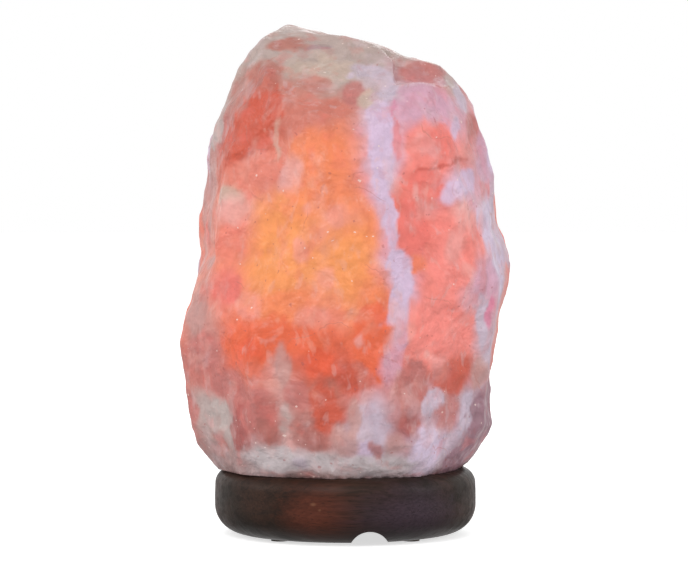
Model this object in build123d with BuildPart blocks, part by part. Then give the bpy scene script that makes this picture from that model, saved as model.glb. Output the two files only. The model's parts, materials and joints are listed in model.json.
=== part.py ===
from build123d import *
import os
from math import cos, pi, radians, sin

os.makedirs("parts", exist_ok=True)

# A hewn salt crystal screwed to a turned wooden base, and lit by a small bulb. The bulb's holder
# pushes up into the base from below, where two sprung clips grip it.
# Millimetres. The origin is on the table under the centre of the base, +Z is up, and the side
# that is looked at is -Y.

# Foot pads
pad_radius = 4.0
pad_thickness = 1.0
pad_circle_radius = 42.0
pad_angles = {"front_left": 225, "front_right": 315, "rear_left": 135, "rear_right": 45}

# Turned base
base_radius = 60.0
base_thickness = 29.5
base_belly = 0.6
base_top_round = 7.0
base_foot_round = 13.0
base_bore_radius = 20.0
recess_radius = 36.0
recess_depth = 16.0
recess_round = 1.2

# Cord notch: a round-topped groove that runs from the recess straight to the front, beside the axis
notch_side = 10.9
notch_radius = 8.8
notch_height = 6.0

# Crystal
crystal_corners = 15
corner_wander = 0.09
corner_wander_turn = 2.3
corner_wander_drift = 0.45
corner_bulge = 0.045
corner_bulge_turn = 3.1
corner_bulge_drift = 0.6
crystal_bore_radius = 21.0
crystal_bore_depth = 100.0
crystal_bore_tip = 8.0
# Each row is one level of the hewn block: height above the base, and how far the block
# reaches to the left, right, front and back of the lamp's axis there.
crystal_levels = (
    (0.0, 59.0, 54.0, 54.0, 50.0),
    (9.0, 65.5, 61.0, 60.0, 56.0),
    (20.0, 69.5, 67.5, 64.0, 60.0),
    (41.0, 73.5, 66.5, 66.5, 63.0),
    (56.0, 75.5, 69.0, 67.0, 64.0),
    (70.0, 73.0, 70.5, 67.0, 65.0),
    (88.0, 68.0, 75.0, 66.0, 66.0),
    (98.0, 65.5, 74.0, 65.5, 67.0),
    (112.0, 67.0, 70.0, 65.0, 67.0),
    (128.0, 65.0, 68.0, 63.0, 65.0),
    (147.0, 63.0, 65.0, 59.0, 62.0),
    (163.0, 58.0, 60.5, 54.0, 58.0),
    (178.0, 50.5, 54.0, 47.0, 54.0),
    (207.0, 38.0, 46.0, 34.0, 44.0),
)
# Outline of the hewn top seen from the front: distance from the axis, height above the base
crystal_top_outline = (
    (-62.0, 150.0),
    (-48.5, 181.0),
    (-43.5, 190.5),
    (-35.0, 199.0),
    (-26.5, 202.2),
    (-11.5, 199.2),
    (18.0, 192.0),
    (28.0, 187.4),
    (43.0, 184.8),
    (54.0, 174.0),
    (62.5, 154.0),
)
# Flat faces left by the chisel: a point on the face (height above the base), the compass angle
# that the face looks towards and how far it leans up from upright, both in degrees.
crystal_chips = (
    # top: front slope, left shoulder, right shoulder, back slope, back corners
    ((-14.0, -42.0, 171.0), -88.0, 52.0),
    ((-50.0, -22.0, 168.0), -152.0, 30.0),
    ((50.0, -30.0, 160.0), -42.0, 30.0),
    ((0.0, 42.0, 182.0), 94.0, 46.0),
    ((46.0, 34.0, 158.0), 44.0, 34.0),
    ((-44.0, 36.0, 156.0), 138.0, 30.0),
    # front: the two broad faces that meet below the ledge, and what was knocked off beside them
    ((-20.0, -61.0, 110.0), -98.0, 3.0),
    ((44.0, -50.5, 110.0), -58.0, 3.0),
    ((-56.0, -38.0, 118.0), -146.0, 6.0),
    ((-58.0, -36.0, 40.0), -142.0, -8.0),
    ((-22.0, -62.0, 22.0), -104.0, -18.0),
    ((34.0, -56.0, 24.0), -66.0, -14.0),
    ((60.0, -34.0, 26.0), -30.0, -16.0),
    # sides and back
    ((64.0, 36.0, 92.0), 32.0, 3.0),
    ((-58.0, 42.0, 70.0), 142.0, -4.0),
    ((10.0, 66.1, 70.0), 84.0, 2.0),
    ((-36.0, 54.0, 120.0), 118.0, 8.0),
    ((40.0, 50.0, 30.0), 58.0, -14.0),
    ((-30.0, 54.0, 20.0), 112.0, -18.0),
)
# Ledge where the block's top right corner broke away. Seen from the front it is bounded on the
# left by an edge that leans back over the ridge (distance from the axis, height above the base).
# Seen from the right its outline runs back and up (distance behind the axis, height above the base).
ledge_edge = ((21.5, 160.0), (21.5, 186.5), (13.5, 193.0), (13.5, 215.0))
ledge_outline = ((-25.0, 176.0), (-8.0, 190.0), (-6.0, 215.0))

# Screws from the base into the crystal, and their plugs
base_screw_count = 3
base_screw_circle_radius = 30.0
base_screw_shank_radius = 2.0
base_screw_head_radius = 4.0
base_screw_head_height = 2.6
base_screw_length = 34.0
base_screw_point_length = 5.0
base_screw_drive_radius = 2.0
base_screw_drive_width = 0.8
base_screw_drive_depth = 1.6
screw_hole_clearance = 0.25
anchor_radius = 4.0
anchor_length = 24.0
anchor_split_length = 18.0
anchor_hole_spare = 2.0
anchor_slot_width = 1.2

# Lampholder
shell_neck_radius = 13.4
shell_step_out = 0.6
shell_wall = 1.6
shell_height = 35.0
shell_step_height = 22.0
shell_step_rise = 2.0
shell_lip_thickness = 2.0
shell_lip_radius = 9.2
shell_lip_round = 0.65
shell_ledge_radius = 10.8
shell_ledge_thickness = 1.5
ear_radius = 2.9
ear_height = 6.0
insert_clearance = 0.3
insert_foot_height = 5.4
insert_floor = 5.2
screw_shell_radius = 7.25
screw_shell_wall = 0.4
screw_shell_height = 18.0
screw_shell_lip_radius = 5.2
insert_over_sleeve = 1.5
insert_edge = 0.8
sleeve_clearance = 0.1

# Contacts and terminals
tongue_width = 4.0
tongue_thickness = 0.5
tongue_reach = 3.4
tongue_rise = 1.6
tongue_fold_slack = 0.05
rivet_radius = 1.1
rivet_land = 2.2
terminal_thickness = 1.1
terminal_width = 6.5
terminal_edge = 1.5
terminal_length = 6.8
terminal_screw_radius = 1.5
terminal_screw_inset = 2.6
terminal_screw_length = 4.4
terminal_screw_depth = 4.2
terminal_head_radius = 2.7
terminal_head_height = 1.9
tab_width = 3.0
tab_thickness = 0.6
tab_inset = 1.2
screw_slot_width = 0.8
screw_slot_depth = 0.9

# Steel stop disc, cap and cord bush
flange_radius = 24.0
flange_thickness = 1.2
flange_gap = 0.1
flange_opening_radius = 10.5
flange_slot_inner = 14.7
flange_slot_outer = 22.2
flange_slot_clearance = 0.7
cap_height = 6.8
cap_wall = 1.6
cap_round = 2.0
cap_ear_thickness = 2.0
cap_screw_radius = 1.25
cap_screw_head_radius = 1.9
cap_screw_head_height = 1.6
cap_screw_head_gap = 0.1
cap_screw_length = 6.6
cap_screw_depth = 5.5
bush_bore_radius = 3.2
bush_wall = 1.3
bush_lip = 1.2
bush_lip_thickness = 1.6

# Clips
collar_over_step = 1.1
collar_width = 5.0
collar_thickness = 0.8
clip_width = 7.0
clip_thickness = 0.6
clip_gap = 0.3
clip_head_rise = 2.5
clip_grip_gap = 0.4
clip_grip_height = 7.5
clip_waist_radius = 17.2
clip_waist_height = -3.5
clip_tab_radius = 24.0
clip_tab_height = -7.8
clip_bend_radius = 3.0
rivet_head_radius = 1.9
rivet_head_thickness = 0.6
clip_hole_radius = 1.6
rivet_head_gap = 0.35

# Bulb (small screw cap)
bulb_cap_radius = 6.95
bulb_cap_wall = 0.35
bulb_cap_height = 16.5
bulb_cap_floor_radius = 4.4
bulb_cap_slope = 1.2
bulb_radius = 13.0
bulb_glass_height = 38.0
bulb_glass_wall = 0.8
bulb_throat_radius = 6.4
bulb_throat_depth = 6.0
bulb_flare_radius = 9.2
bulb_flare_height = 10.0
insulator_height = 2.2
insulator_top_radius = 5.0
insulator_tip_radius = 2.6
contact_radius = 2.2
contact_height = 0.9
contact_stem_radius = 0.8
contact_gap = 0.2
tip_clearance = 0.1
stem_drop = 5.0
stem_flare_height = 6.0
stem_flare_slope = 0.15
stem_radius = 1.9
stem_height = 12.0
stem_rod_radius = 0.9
stem_rod_height = 7.0
wire_radius = 0.3
wire_root = 1.3
wire_rise = 1.2
wire_bend_radius = 0.9
wire_spread = 7.0
wire_top_height = 23.0
filament_radius = 0.35
filament_sag = 2.0
support_root = 0.5
support_reach = 1.9

# Places that follow from the sizes above
base_bottom = pad_thickness
base_top = base_bottom + base_thickness
recess_ceiling = base_bottom + recess_depth
notch_axis_z = base_bottom + notch_height - notch_radius
base_screw_tip = recess_ceiling + base_screw_length
base_screw_shank_length = base_screw_length - base_screw_head_height - base_screw_point_length
flange_top = recess_ceiling - flange_gap
flange_bottom = flange_top - flange_thickness
shell_top = flange_top + shell_height
shell_foot_radius = shell_neck_radius + shell_step_out
shell_inner_radius = shell_neck_radius - shell_wall
insert_radius = shell_inner_radius - insert_clearance
ear_offset = shell_foot_radius + cap_screw_head_radius + cap_screw_head_gap
insert_bottom = flange_top + insert_foot_height
cavity_floor = insert_bottom + insert_floor
sleeve_outer_radius = screw_shell_radius + screw_shell_wall
insert_top = cavity_floor + screw_shell_height + insert_over_sleeve
terminal_bottom = insert_bottom - terminal_thickness
terminal_outer = insert_radius - terminal_edge
terminal_inner = terminal_outer - terminal_length
terminal_screw_offset = terminal_outer - terminal_screw_inset
tab_offset = terminal_inner + tab_inset
tongue_top = cavity_floor + tongue_rise
bulb_tip = tongue_top + contact_gap
insulator_bottom = bulb_tip + contact_height
cap_floor = insulator_bottom + insulator_height + tip_clearance
cap_rim = cap_floor + bulb_cap_height
bulb_top = cap_rim + bulb_glass_height
stem_bottom = cap_rim - stem_drop
stem_neck = stem_bottom + stem_flare_height
stem_top = cap_rim + stem_height
rod_top = stem_top + stem_rod_height
wire_top = cap_rim + wire_top_height
collar_bottom = flange_top + shell_step_height + shell_step_rise + collar_over_step
collar_middle = collar_bottom + collar_width / 2
collar_outer_radius = shell_neck_radius + collar_thickness
clip_line_radius = collar_outer_radius + clip_gap + clip_thickness / 2
clip_grip_radius = base_bore_radius - clip_grip_gap - clip_thickness / 2
rivet_head_place = clip_line_radius + clip_thickness / 2 + rivet_head_gap
cap_top = flange_bottom
cap_bottom = cap_top - cap_height
bush_outer_radius = bush_bore_radius + bush_wall
bush_bottom = cap_bottom - bush_lip_thickness
bush_top = cap_bottom + cap_wall + bush_lip_thickness

# Primitives stand on the place that they are given
STANDING = (Align.CENTER, Align.CENTER, Align.MIN)


def write(node, name):
    """Label a finished piece and write it to its own file."""
    node.part.label = name
    export_step(node.part, f"parts/{name}.step")


# ---------------------------------------------------------------- base and feet

for place, angle in pad_angles.items():
    with BuildPart() as foot_pad:
        with BuildSketch():
            with PolarLocations(pad_circle_radius, 1, start_angle=angle):
                Circle(pad_radius)
        extrude(amount=pad_thickness)
    write(foot_pad, f"foot_pad_{place}")

with BuildPart() as wood_base:
    with BuildSketch(Plane.XZ) as turned_profile:
        with BuildLine():
            middle = (base_bottom + base_top) / 2
            belly_radius = base_radius - base_belly
            Line((base_bore_radius, base_top), (belly_radius, base_top))
            ThreePointArc((belly_radius, base_top), (base_radius, middle), (belly_radius, base_bottom))
            Polyline(
                (belly_radius, base_bottom),
                (recess_radius, base_bottom),
                (recess_radius, recess_ceiling),
                (base_bore_radius, recess_ceiling),
                (base_bore_radius, base_top),
            )
        make_face()
        for corner, round_radius in (
            ((belly_radius, base_top), base_top_round),
            ((belly_radius, base_bottom), base_foot_round),
            ((recess_radius, base_bottom), recess_round),
        ):
            fillet(turned_profile.vertices().sort_by_distance(corner)[0], round_radius)
    revolve(axis=Axis.Z)
    with BuildSketch(Plane.XZ):
        with Locations((notch_side, notch_axis_z)):
            Circle(notch_radius)
    extrude(amount=base_radius + notch_radius, mode=Mode.SUBTRACT)
    with Locations(Plane(origin=(0, 0, recess_ceiling), x_dir=(1, 0, 0), z_dir=(0, 0, -1))):
        with PolarLocations(base_screw_circle_radius, base_screw_count):
            CounterSinkHole(
                base_screw_shank_radius + screw_hole_clearance,
                base_screw_head_radius + screw_hole_clearance,
                depth=base_thickness - recess_depth,
            )
write(wood_base, "wood_base")

# ---------------------------------------------------------------- crystal


def level_outline(row):
    """Height and corners of the hewn block at one level, counted round from the right."""
    height, left, right, front, back = crystal_levels[row]
    corners = []
    for k in range(crystal_corners):
        # A hewn block's corners wander from level to level, and bulge past an oval here and there
        wander = corner_wander * sin(corner_wander_turn * k + corner_wander_drift * row)
        turn = 2 * pi * k / crystal_corners + wander
        reach = 1 + corner_bulge * sin(corner_bulge_turn * k + corner_bulge_drift * row)
        corners.append((reach * cos(turn), reach * sin(turn)))
    # Stretch each side so that the widest corner reaches just as far as the level says
    most_right, most_left = max(x for x, y in corners), -min(x for x, y in corners)
    most_back, most_front = max(y for x, y in corners), -min(y for x, y in corners)
    stretched = [
        (
            x * (right / most_right if x > 0 else left / most_left),
            y * (back / most_back if y > 0 else front / most_front),
        )
        for x, y in corners
    ]
    return height, stretched


with BuildPart() as broken_corner:
    past_block = 2 * base_radius
    with BuildSketch(Plane.YZ):
        with BuildLine():
            Polyline(
                (-past_block, base_top + ledge_outline[0][1]),
                *((y, base_top + height) for y, height in ledge_outline),
                (-past_block, base_top + ledge_outline[-1][1]),
                close=True,
            )
        make_face()
    extrude(amount=past_block)
    with BuildSketch(Plane.XZ):
        with BuildLine():
            Polyline(
                (past_block, base_top + ledge_edge[0][1]),
                *((x, base_top + height) for x, height in ledge_edge),
                (past_block, base_top + ledge_edge[-1][1]),
                close=True,
            )
        make_face()
    extrude(amount=past_block, both=True, mode=Mode.INTERSECT)

with BuildPart() as salt_crystal:
    for row in range(len(crystal_levels)):
        height, corners = level_outline(row)
        with BuildSketch(Plane.XY.offset(base_top + height)):
            with BuildLine():
                Polyline(*corners, close=True)
            make_face()
    loft(ruled=True)
    # The hewn top, as its outline stands against the light
    with BuildSketch(Plane.XZ):
        with BuildLine():
            Polyline(
                (-2 * base_radius, base_top),
                *((x, base_top + height) for x, height in crystal_top_outline),
                (2 * base_radius, base_top),
                close=True,
            )
        make_face()
    extrude(amount=2 * base_radius, both=True, mode=Mode.INTERSECT)
    for (x, y, height), compass, lean in crystal_chips:
        facing = (
            cos(radians(lean)) * cos(radians(compass)),
            cos(radians(lean)) * sin(radians(compass)),
            sin(radians(lean)),
        )
        split(bisect_by=Plane(origin=(x, y, base_top + height), z_dir=facing), keep=Keep.BOTTOM)
    add(broken_corner.part, mode=Mode.SUBTRACT)
    # The drilled bore, with the cone that the drill leaves, and a blind hole for each plug
    with BuildSketch(Plane.XZ):
        with BuildLine():
            Polyline(
                (0, base_top),
                (crystal_bore_radius, base_top),
                (crystal_bore_radius, base_top + crystal_bore_depth),
                (0, base_top + crystal_bore_depth + crystal_bore_tip),
                close=True,
            )
        make_face()
    revolve(axis=Axis.Z, mode=Mode.SUBTRACT)
    with BuildSketch(Plane.XY.offset(base_top)):
        with PolarLocations(base_screw_circle_radius, base_screw_count):
            Circle(anchor_radius)
    extrude(amount=anchor_length + anchor_hole_spare, mode=Mode.SUBTRACT)
write(salt_crystal, "salt_crystal")

# ---------------------------------------------------------------- base screws and plugs

with BuildPart() as base_screws:
    with PolarLocations(base_screw_circle_radius, base_screw_count):
        with Locations((0, 0, recess_ceiling)):
            Cone(base_screw_head_radius, base_screw_shank_radius, base_screw_head_height, align=STANDING)
        with Locations((0, 0, recess_ceiling + base_screw_head_height)):
            Cylinder(base_screw_shank_radius, base_screw_shank_length, align=STANDING)
        with Locations((0, 0, base_screw_tip - base_screw_point_length)):
            Cone(base_screw_shank_radius, 0, base_screw_point_length, align=STANDING)
        for turn in (0, 90):
            with Locations(Location((0, 0, recess_ceiling), (0, 0, turn))):
                Box(
                    2 * base_screw_drive_radius,
                    base_screw_drive_width,
                    base_screw_drive_depth,
                    align=STANDING,
                    mode=Mode.SUBTRACT,
                )
write(base_screws, "base_screws")

with BuildPart() as screw_anchors:
    with PolarLocations(base_screw_circle_radius, base_screw_count):
        with Locations((0, 0, base_top)):
            Cylinder(anchor_radius, anchor_length, align=STANDING)
            Cylinder(base_screw_shank_radius, anchor_length, align=STANDING, mode=Mode.SUBTRACT)
        # The plug is split for most of its length, so that the screw can spread it
        with Locations((0, 0, base_top + anchor_length - anchor_split_length)):
            Box(
                2 * anchor_radius,
                anchor_slot_width,
                anchor_split_length,
                align=STANDING,
                mode=Mode.SUBTRACT,
            )
write(screw_anchors, "screw_anchors")

# ---------------------------------------------------------------- lampholder

ear_places = [(0, -ear_offset), (0, ear_offset)]

with BuildPart() as holder_shell:
    with BuildSketch(Plane.XZ):
        with BuildLine():
            Polyline(
                (shell_inner_radius, flange_top),
                (shell_foot_radius, flange_top),
                (shell_foot_radius, flange_top + shell_step_height),
                (shell_neck_radius, flange_top + shell_step_height + shell_step_rise),
                (shell_neck_radius, shell_top),
                (shell_lip_radius, shell_top),
                (shell_lip_radius, shell_top - shell_lip_thickness),
                (shell_inner_radius, shell_top - shell_lip_thickness),
                # The ledge that the ceramic insert stands on
                (shell_inner_radius, insert_bottom),
                (shell_ledge_radius, insert_bottom),
                (shell_ledge_radius, insert_bottom - shell_ledge_thickness),
                (shell_inner_radius, insert_bottom - shell_ledge_thickness),
                close=True,
            )
        make_face()
    revolve(axis=Axis.Z)
    mouth = holder_shell.edges().filter_by(GeomType.CIRCLE).group_by(Axis.Z)[-1]
    fillet(mouth, shell_lip_round)
    # Bosses that the cap's screws bite into, webbed to the shell
    web_middle = (ear_offset + shell_inner_radius) / 2
    with BuildSketch(Plane.XY.offset(flange_top)):
        with Locations(*ear_places):
            Circle(ear_radius)
        with Locations((0, -web_middle), (0, web_middle)):
            Rectangle(2 * ear_radius, ear_offset - shell_inner_radius)
        Circle(shell_inner_radius, mode=Mode.SUBTRACT)
    extrude(amount=ear_height)
    with BuildSketch(Plane.XY.offset(flange_top)):
        with Locations(*ear_places):
            Circle(cap_screw_radius)
    extrude(amount=cap_screw_depth, mode=Mode.SUBTRACT)
write(holder_shell, "holder_shell")

with BuildPart() as holder_insert:
    with Locations((0, 0, insert_bottom)):
        Cylinder(insert_radius, insert_top - insert_bottom, align=STANDING)
    with Locations((0, 0, cavity_floor)):
        Cylinder(
            sleeve_outer_radius + sleeve_clearance,
            insert_top - cavity_floor,
            align=STANDING,
            mode=Mode.SUBTRACT,
        )
    with Locations((0, 0, insert_bottom)):
        Cylinder(rivet_radius, insert_floor, align=STANDING, mode=Mode.SUBTRACT)
        with Locations((terminal_screw_offset, 0), (-terminal_screw_offset, 0)):
            Cylinder(terminal_screw_radius, terminal_screw_depth, align=STANDING, mode=Mode.SUBTRACT)
        with Locations((-tab_offset, 0)):
            Box(tab_thickness, tab_width, insert_floor, align=STANDING, mode=Mode.SUBTRACT)
    chamfer(holder_insert.edges().group_by(Axis.Z)[-1], insert_edge)
write(holder_insert, "holder_insert")

with BuildPart() as screw_shell:
    with BuildSketch(Plane.XZ):
        with BuildLine():
            Polyline(
                (screw_shell_lip_radius, cavity_floor),
                (sleeve_outer_radius, cavity_floor),
                (sleeve_outer_radius, cavity_floor + screw_shell_height),
                (screw_shell_radius, cavity_floor + screw_shell_height),
                (screw_shell_radius, cavity_floor + screw_shell_wall),
                (screw_shell_lip_radius, cavity_floor + screw_shell_wall),
                close=True,
            )
        make_face()
    revolve(axis=Axis.Z)
write(screw_shell, "screw_shell")

with BuildPart() as centre_contact:
    # A strip folded up and over, so that the bulb's tip presses it down, with its rivet below
    with BuildSketch(Plane.XZ):
        with BuildLine():
            middle_of_strip = tongue_thickness / 2
            FilletPolyline(
                (-tongue_reach / 2, cavity_floor + middle_of_strip),
                (tongue_reach, cavity_floor + middle_of_strip),
                (tongue_reach, tongue_top - middle_of_strip),
                (-tongue_reach, tongue_top - middle_of_strip),
                radius=(tongue_rise - tongue_thickness) / 2 - tongue_fold_slack,
            )
        trace(line_width=tongue_thickness)
    extrude(amount=tongue_width / 2, both=True)
    with Locations((0, 0, terminal_bottom)):
        Cylinder(rivet_radius, cavity_floor - terminal_bottom, align=STANDING)
write(centre_contact, "centre_contact")

with BuildPart() as live_terminal:
    with BuildSketch(Plane.XY.offset(terminal_bottom)):
        with Locations(((terminal_outer - rivet_land) / 2, 0)):
            Rectangle(terminal_outer + rivet_land, terminal_width)
        Circle(rivet_radius, mode=Mode.SUBTRACT)
        with Locations((terminal_screw_offset, 0)):
            Circle(terminal_screw_radius, mode=Mode.SUBTRACT)
    extrude(amount=terminal_thickness)
write(live_terminal, "live_terminal")

with BuildPart() as neutral_terminal:
    with BuildSketch(Plane.XY.offset(terminal_bottom)):
        with Locations((-(terminal_outer + terminal_inner) / 2, 0)):
            Rectangle(terminal_outer - terminal_inner, terminal_width)
        with Locations((-terminal_screw_offset, 0)):
            Circle(terminal_screw_radius, mode=Mode.SUBTRACT)
    extrude(amount=terminal_thickness)
    # The tab goes up through the insert's floor to the brass sleeve
    with Locations((-tab_offset, 0, terminal_bottom)):
        Box(tab_thickness, tab_width, cavity_floor - terminal_bottom, align=STANDING)
write(neutral_terminal, "neutral_terminal")

with BuildPart() as terminal_screws:
    with Locations((terminal_screw_offset, 0), (-terminal_screw_offset, 0)):
        with Locations((0, 0, terminal_bottom - terminal_head_height)):
            Cylinder(terminal_head_radius, terminal_head_height, align=STANDING)
            Box(
                2 * terminal_head_radius,
                screw_slot_width,
                screw_slot_depth,
                align=STANDING,
                mode=Mode.SUBTRACT,
            )
        with Locations((0, 0, terminal_bottom)):
            Cylinder(terminal_screw_radius, terminal_screw_length, align=STANDING)
write(terminal_screws, "terminal_screws")

with BuildPart() as stop_flange:
    with BuildSketch(Plane.XY.offset(flange_bottom)):
        Circle(flange_radius)
        Circle(flange_opening_radius, mode=Mode.SUBTRACT)
        slot_middle = (flange_slot_inner + flange_slot_outer) / 2
        with Locations((slot_middle, 0), (-slot_middle, 0)):
            Rectangle(
                flange_slot_outer - flange_slot_inner,
                clip_width + 2 * flange_slot_clearance,
                mode=Mode.SUBTRACT,
            )
        with Locations(*ear_places):
            Circle(cap_screw_radius, mode=Mode.SUBTRACT)
    extrude(amount=flange_thickness)
write(stop_flange, "stop_flange")

with BuildPart() as holder_cap:
    with BuildSketch(Plane.XY.offset(cap_bottom)):
        Circle(shell_foot_radius)
    extrude(amount=cap_height)
    fillet(holder_cap.faces().sort_by(Axis.Z)[0].edges(), cap_round)
    with BuildSketch(Plane.XY.offset(cap_top - cap_ear_thickness)):
        with Locations(*ear_places):
            Circle(ear_radius)
        Rectangle(2 * ear_radius, 2 * ear_offset)
    extrude(amount=cap_ear_thickness)
    with Locations((0, 0, cap_bottom + cap_wall)):
        Cylinder(shell_foot_radius - cap_wall, cap_height, align=STANDING, mode=Mode.SUBTRACT)
    with Locations((0, 0, cap_bottom)):
        Cylinder(bush_outer_radius, cap_wall, align=STANDING, mode=Mode.SUBTRACT)
    with BuildSketch(Plane.XY.offset(cap_top)):
        with Locations(*ear_places):
            Circle(cap_screw_radius)
    extrude(amount=-cap_ear_thickness, mode=Mode.SUBTRACT)
write(holder_cap, "holder_cap")

with BuildPart() as cap_screws:
    with Locations(*ear_places):
        with Locations((0, 0, cap_top - cap_ear_thickness - cap_screw_head_height)):
            Cylinder(cap_screw_head_radius, cap_screw_head_height, align=STANDING)
            Box(
                2 * cap_screw_head_radius,
                screw_slot_width,
                screw_slot_depth,
                align=STANDING,
                mode=Mode.SUBTRACT,
            )
        with Locations((0, 0, cap_top - cap_ear_thickness)):
            Cylinder(cap_screw_radius, cap_screw_length, align=STANDING)
write(cap_screws, "cap_screws")

with BuildPart() as cord_bush:
    with BuildSketch(Plane.XZ):
        with BuildLine():
            Polyline(
                (bush_bore_radius, bush_bottom),
                (bush_outer_radius + bush_lip, bush_bottom),
                (bush_outer_radius + bush_lip, cap_bottom),
                (bush_outer_radius, cap_bottom),
                (bush_outer_radius, cap_bottom + cap_wall),
                (bush_outer_radius + bush_lip, cap_bottom + cap_wall),
                (bush_outer_radius, bush_top),
                (bush_bore_radius, bush_top),
                close=True,
            )
        make_face()
    revolve(axis=Axis.Z)
write(cord_bush, "cord_bush")

# ---------------------------------------------------------------- clips

with BuildPart() as clip_collar:
    with BuildSketch(Plane.XY.offset(collar_bottom)):
        Circle(collar_outer_radius)
        Circle(shell_neck_radius, mode=Mode.SUBTRACT)
    extrude(amount=collar_width)
    with BuildSketch(Plane.YZ):
        with Locations((0, collar_middle)):
            Circle(rivet_radius)
    extrude(amount=collar_outer_radius, both=True, mode=Mode.SUBTRACT)
write(clip_collar, "clip_collar")

with BuildPart() as clip_rivets:
    for side in (1, -1):
        with BuildSketch(Plane(origin=(side * shell_neck_radius, 0, collar_middle), z_dir=(side, 0, 0))):
            Circle(rivet_radius)
        extrude(amount=rivet_head_place - shell_neck_radius)
        with BuildSketch(Plane(origin=(side * rivet_head_place, 0, collar_middle), z_dir=(side, 0, 0))):
            Circle(rivet_head_radius)
        extrude(amount=rivet_head_thickness)
    # The stems' inner ends follow the round of the holder
    with Locations((0, 0, collar_middle)):
        Cylinder(shell_neck_radius, collar_width, mode=Mode.SUBTRACT)
write(clip_rivets, "clip_rivets")

for side, name in ((-1, "clip_arm_left"), (1, "clip_arm_right")):
    with BuildPart() as clip_arm:
        with BuildSketch(Plane.XZ):
            with BuildLine():
                FilletPolyline(
                    (side * clip_line_radius, collar_middle + clip_head_rise),
                    (side * clip_line_radius, collar_middle - clip_head_rise),
                    (side * clip_grip_radius, recess_ceiling + clip_grip_height),
                    (side * clip_waist_radius, recess_ceiling + clip_waist_height),
                    (side * clip_tab_radius, recess_ceiling + clip_tab_height),
                    radius=clip_bend_radius,
                )
            trace(line_width=clip_thickness)
        extrude(amount=clip_width / 2, both=True)
        with BuildSketch(Plane.YZ):
            with Locations((0, collar_middle)):
                Circle(clip_hole_radius)
        extrude(amount=side * base_bore_radius, mode=Mode.SUBTRACT)
    write(clip_arm, name)

# ---------------------------------------------------------------- bulb

with BuildPart() as bulb_contact:
    with BuildSketch(Plane.XZ):
        with BuildLine():
            Polyline(
                (0, cap_floor - tip_clearance),
                (0, bulb_tip),
                (contact_radius / 2, bulb_tip),
                (contact_radius, insulator_bottom),
                (contact_stem_radius, insulator_bottom),
                (contact_stem_radius, cap_floor - tip_clearance),
                close=True,
            )
        make_face()
    revolve(axis=Axis.Z)
write(bulb_contact, "bulb_contact")

with BuildPart() as bulb_insulator:
    with BuildSketch(Plane.XZ):
        with BuildLine():
            Polyline(
                (contact_stem_radius, insulator_bottom),
                (insulator_tip_radius, insulator_bottom),
                (insulator_top_radius, insulator_bottom + insulator_height),
                (contact_stem_radius, insulator_bottom + insulator_height),
                close=True,
            )
        make_face()
    revolve(axis=Axis.Z)
write(bulb_insulator, "bulb_insulator")

with BuildPart() as bulb_cap:
    with BuildSketch(Plane.XZ):
        with BuildLine():
            Polyline(
                (bulb_cap_floor_radius, cap_floor),
                (bulb_cap_radius, cap_floor + bulb_cap_slope),
                (bulb_cap_radius, cap_rim),
                (bulb_cap_radius - bulb_cap_wall, cap_rim),
                (bulb_cap_radius - bulb_cap_wall, cap_floor + bulb_cap_slope),
                (bulb_cap_floor_radius, cap_floor + bulb_cap_wall),
                close=True,
            )
        make_face()
    revolve(axis=Axis.Z)
write(bulb_cap, "bulb_cap")


def glass_outline(inset):
    """One side of the envelope from its throat to its top, drawn inset by a wall or by nothing."""
    throat = Line(
        (bulb_throat_radius - inset, cap_rim - bulb_throat_depth),
        (bulb_throat_radius - inset, cap_rim),
    )
    flare = TangentArc(
        throat @ 1,
        (bulb_flare_radius - inset, cap_rim + bulb_flare_height),
        tangent=(0, 1),
    )
    shoulder = TangentArc(flare @ 1, (bulb_radius - inset, bulb_top - bulb_radius), tangent=flare % 1)
    RadiusArc(shoulder @ 1, (0, bulb_top - inset), -(bulb_radius - inset))


with BuildPart() as bulb_glass:
    with BuildSketch(Plane.XZ):
        with BuildLine():
            glass_outline(0)
            glass_outline(bulb_glass_wall)
            Line((0, bulb_top), (0, bulb_top - bulb_glass_wall))
            Line(
                (bulb_throat_radius, cap_rim - bulb_throat_depth),
                (bulb_throat_radius - bulb_glass_wall, cap_rim - bulb_throat_depth),
            )
        make_face()
    revolve(axis=Axis.Z)
write(bulb_glass, "bulb_glass")

with BuildPart() as bulb_stem:
    with BuildSketch(Plane.XZ):
        with BuildLine():
            flare_inner = bulb_throat_radius - bulb_glass_wall
            Line((0, stem_bottom), (flare_inner, stem_bottom))
            TangentArc((flare_inner, stem_bottom), (stem_radius, stem_neck), tangent=(-1, stem_flare_slope))
            Polyline(
                (stem_radius, stem_neck),
                (stem_radius, stem_top),
                (stem_rod_radius, stem_top),
                (stem_rod_radius, rod_top),
                (0, rod_top),
                (0, stem_bottom),
            )
        make_face()
    revolve(axis=Axis.Z)
write(bulb_stem, "bulb_stem")


def bent_wire(side, root, foot, spread, top):
    """A wire that rises from its foot, leans outward and ends upright at its top."""
    with BuildPart() as wire:
        with BuildLine():
            FilletPolyline(
                (side * root, 0, foot),
                (side * root, 0, foot + wire_rise),
                (side * spread, 0, top - wire_rise),
                (side * spread, 0, top),
                radius=wire_bend_radius,
            )
        with BuildSketch(Plane((side * root, 0, foot))):
            Circle(wire_radius)
        sweep()
    return wire.part


lead_pair = [bent_wire(side, wire_root, stem_top, wire_spread, wire_top) for side in (1, -1)]
with BuildPart() as lead_wires:
    add(lead_pair)
write(lead_wires, "lead_wires")

hook_top = wire_top + filament_radius + filament_sag - 2 * filament_radius
hook_pair = [bent_wire(side, support_root, rod_top, support_reach, hook_top) for side in (1, -1)]
with BuildPart() as filament_supports:
    add(hook_pair)
write(filament_supports, "filament_supports")

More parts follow.
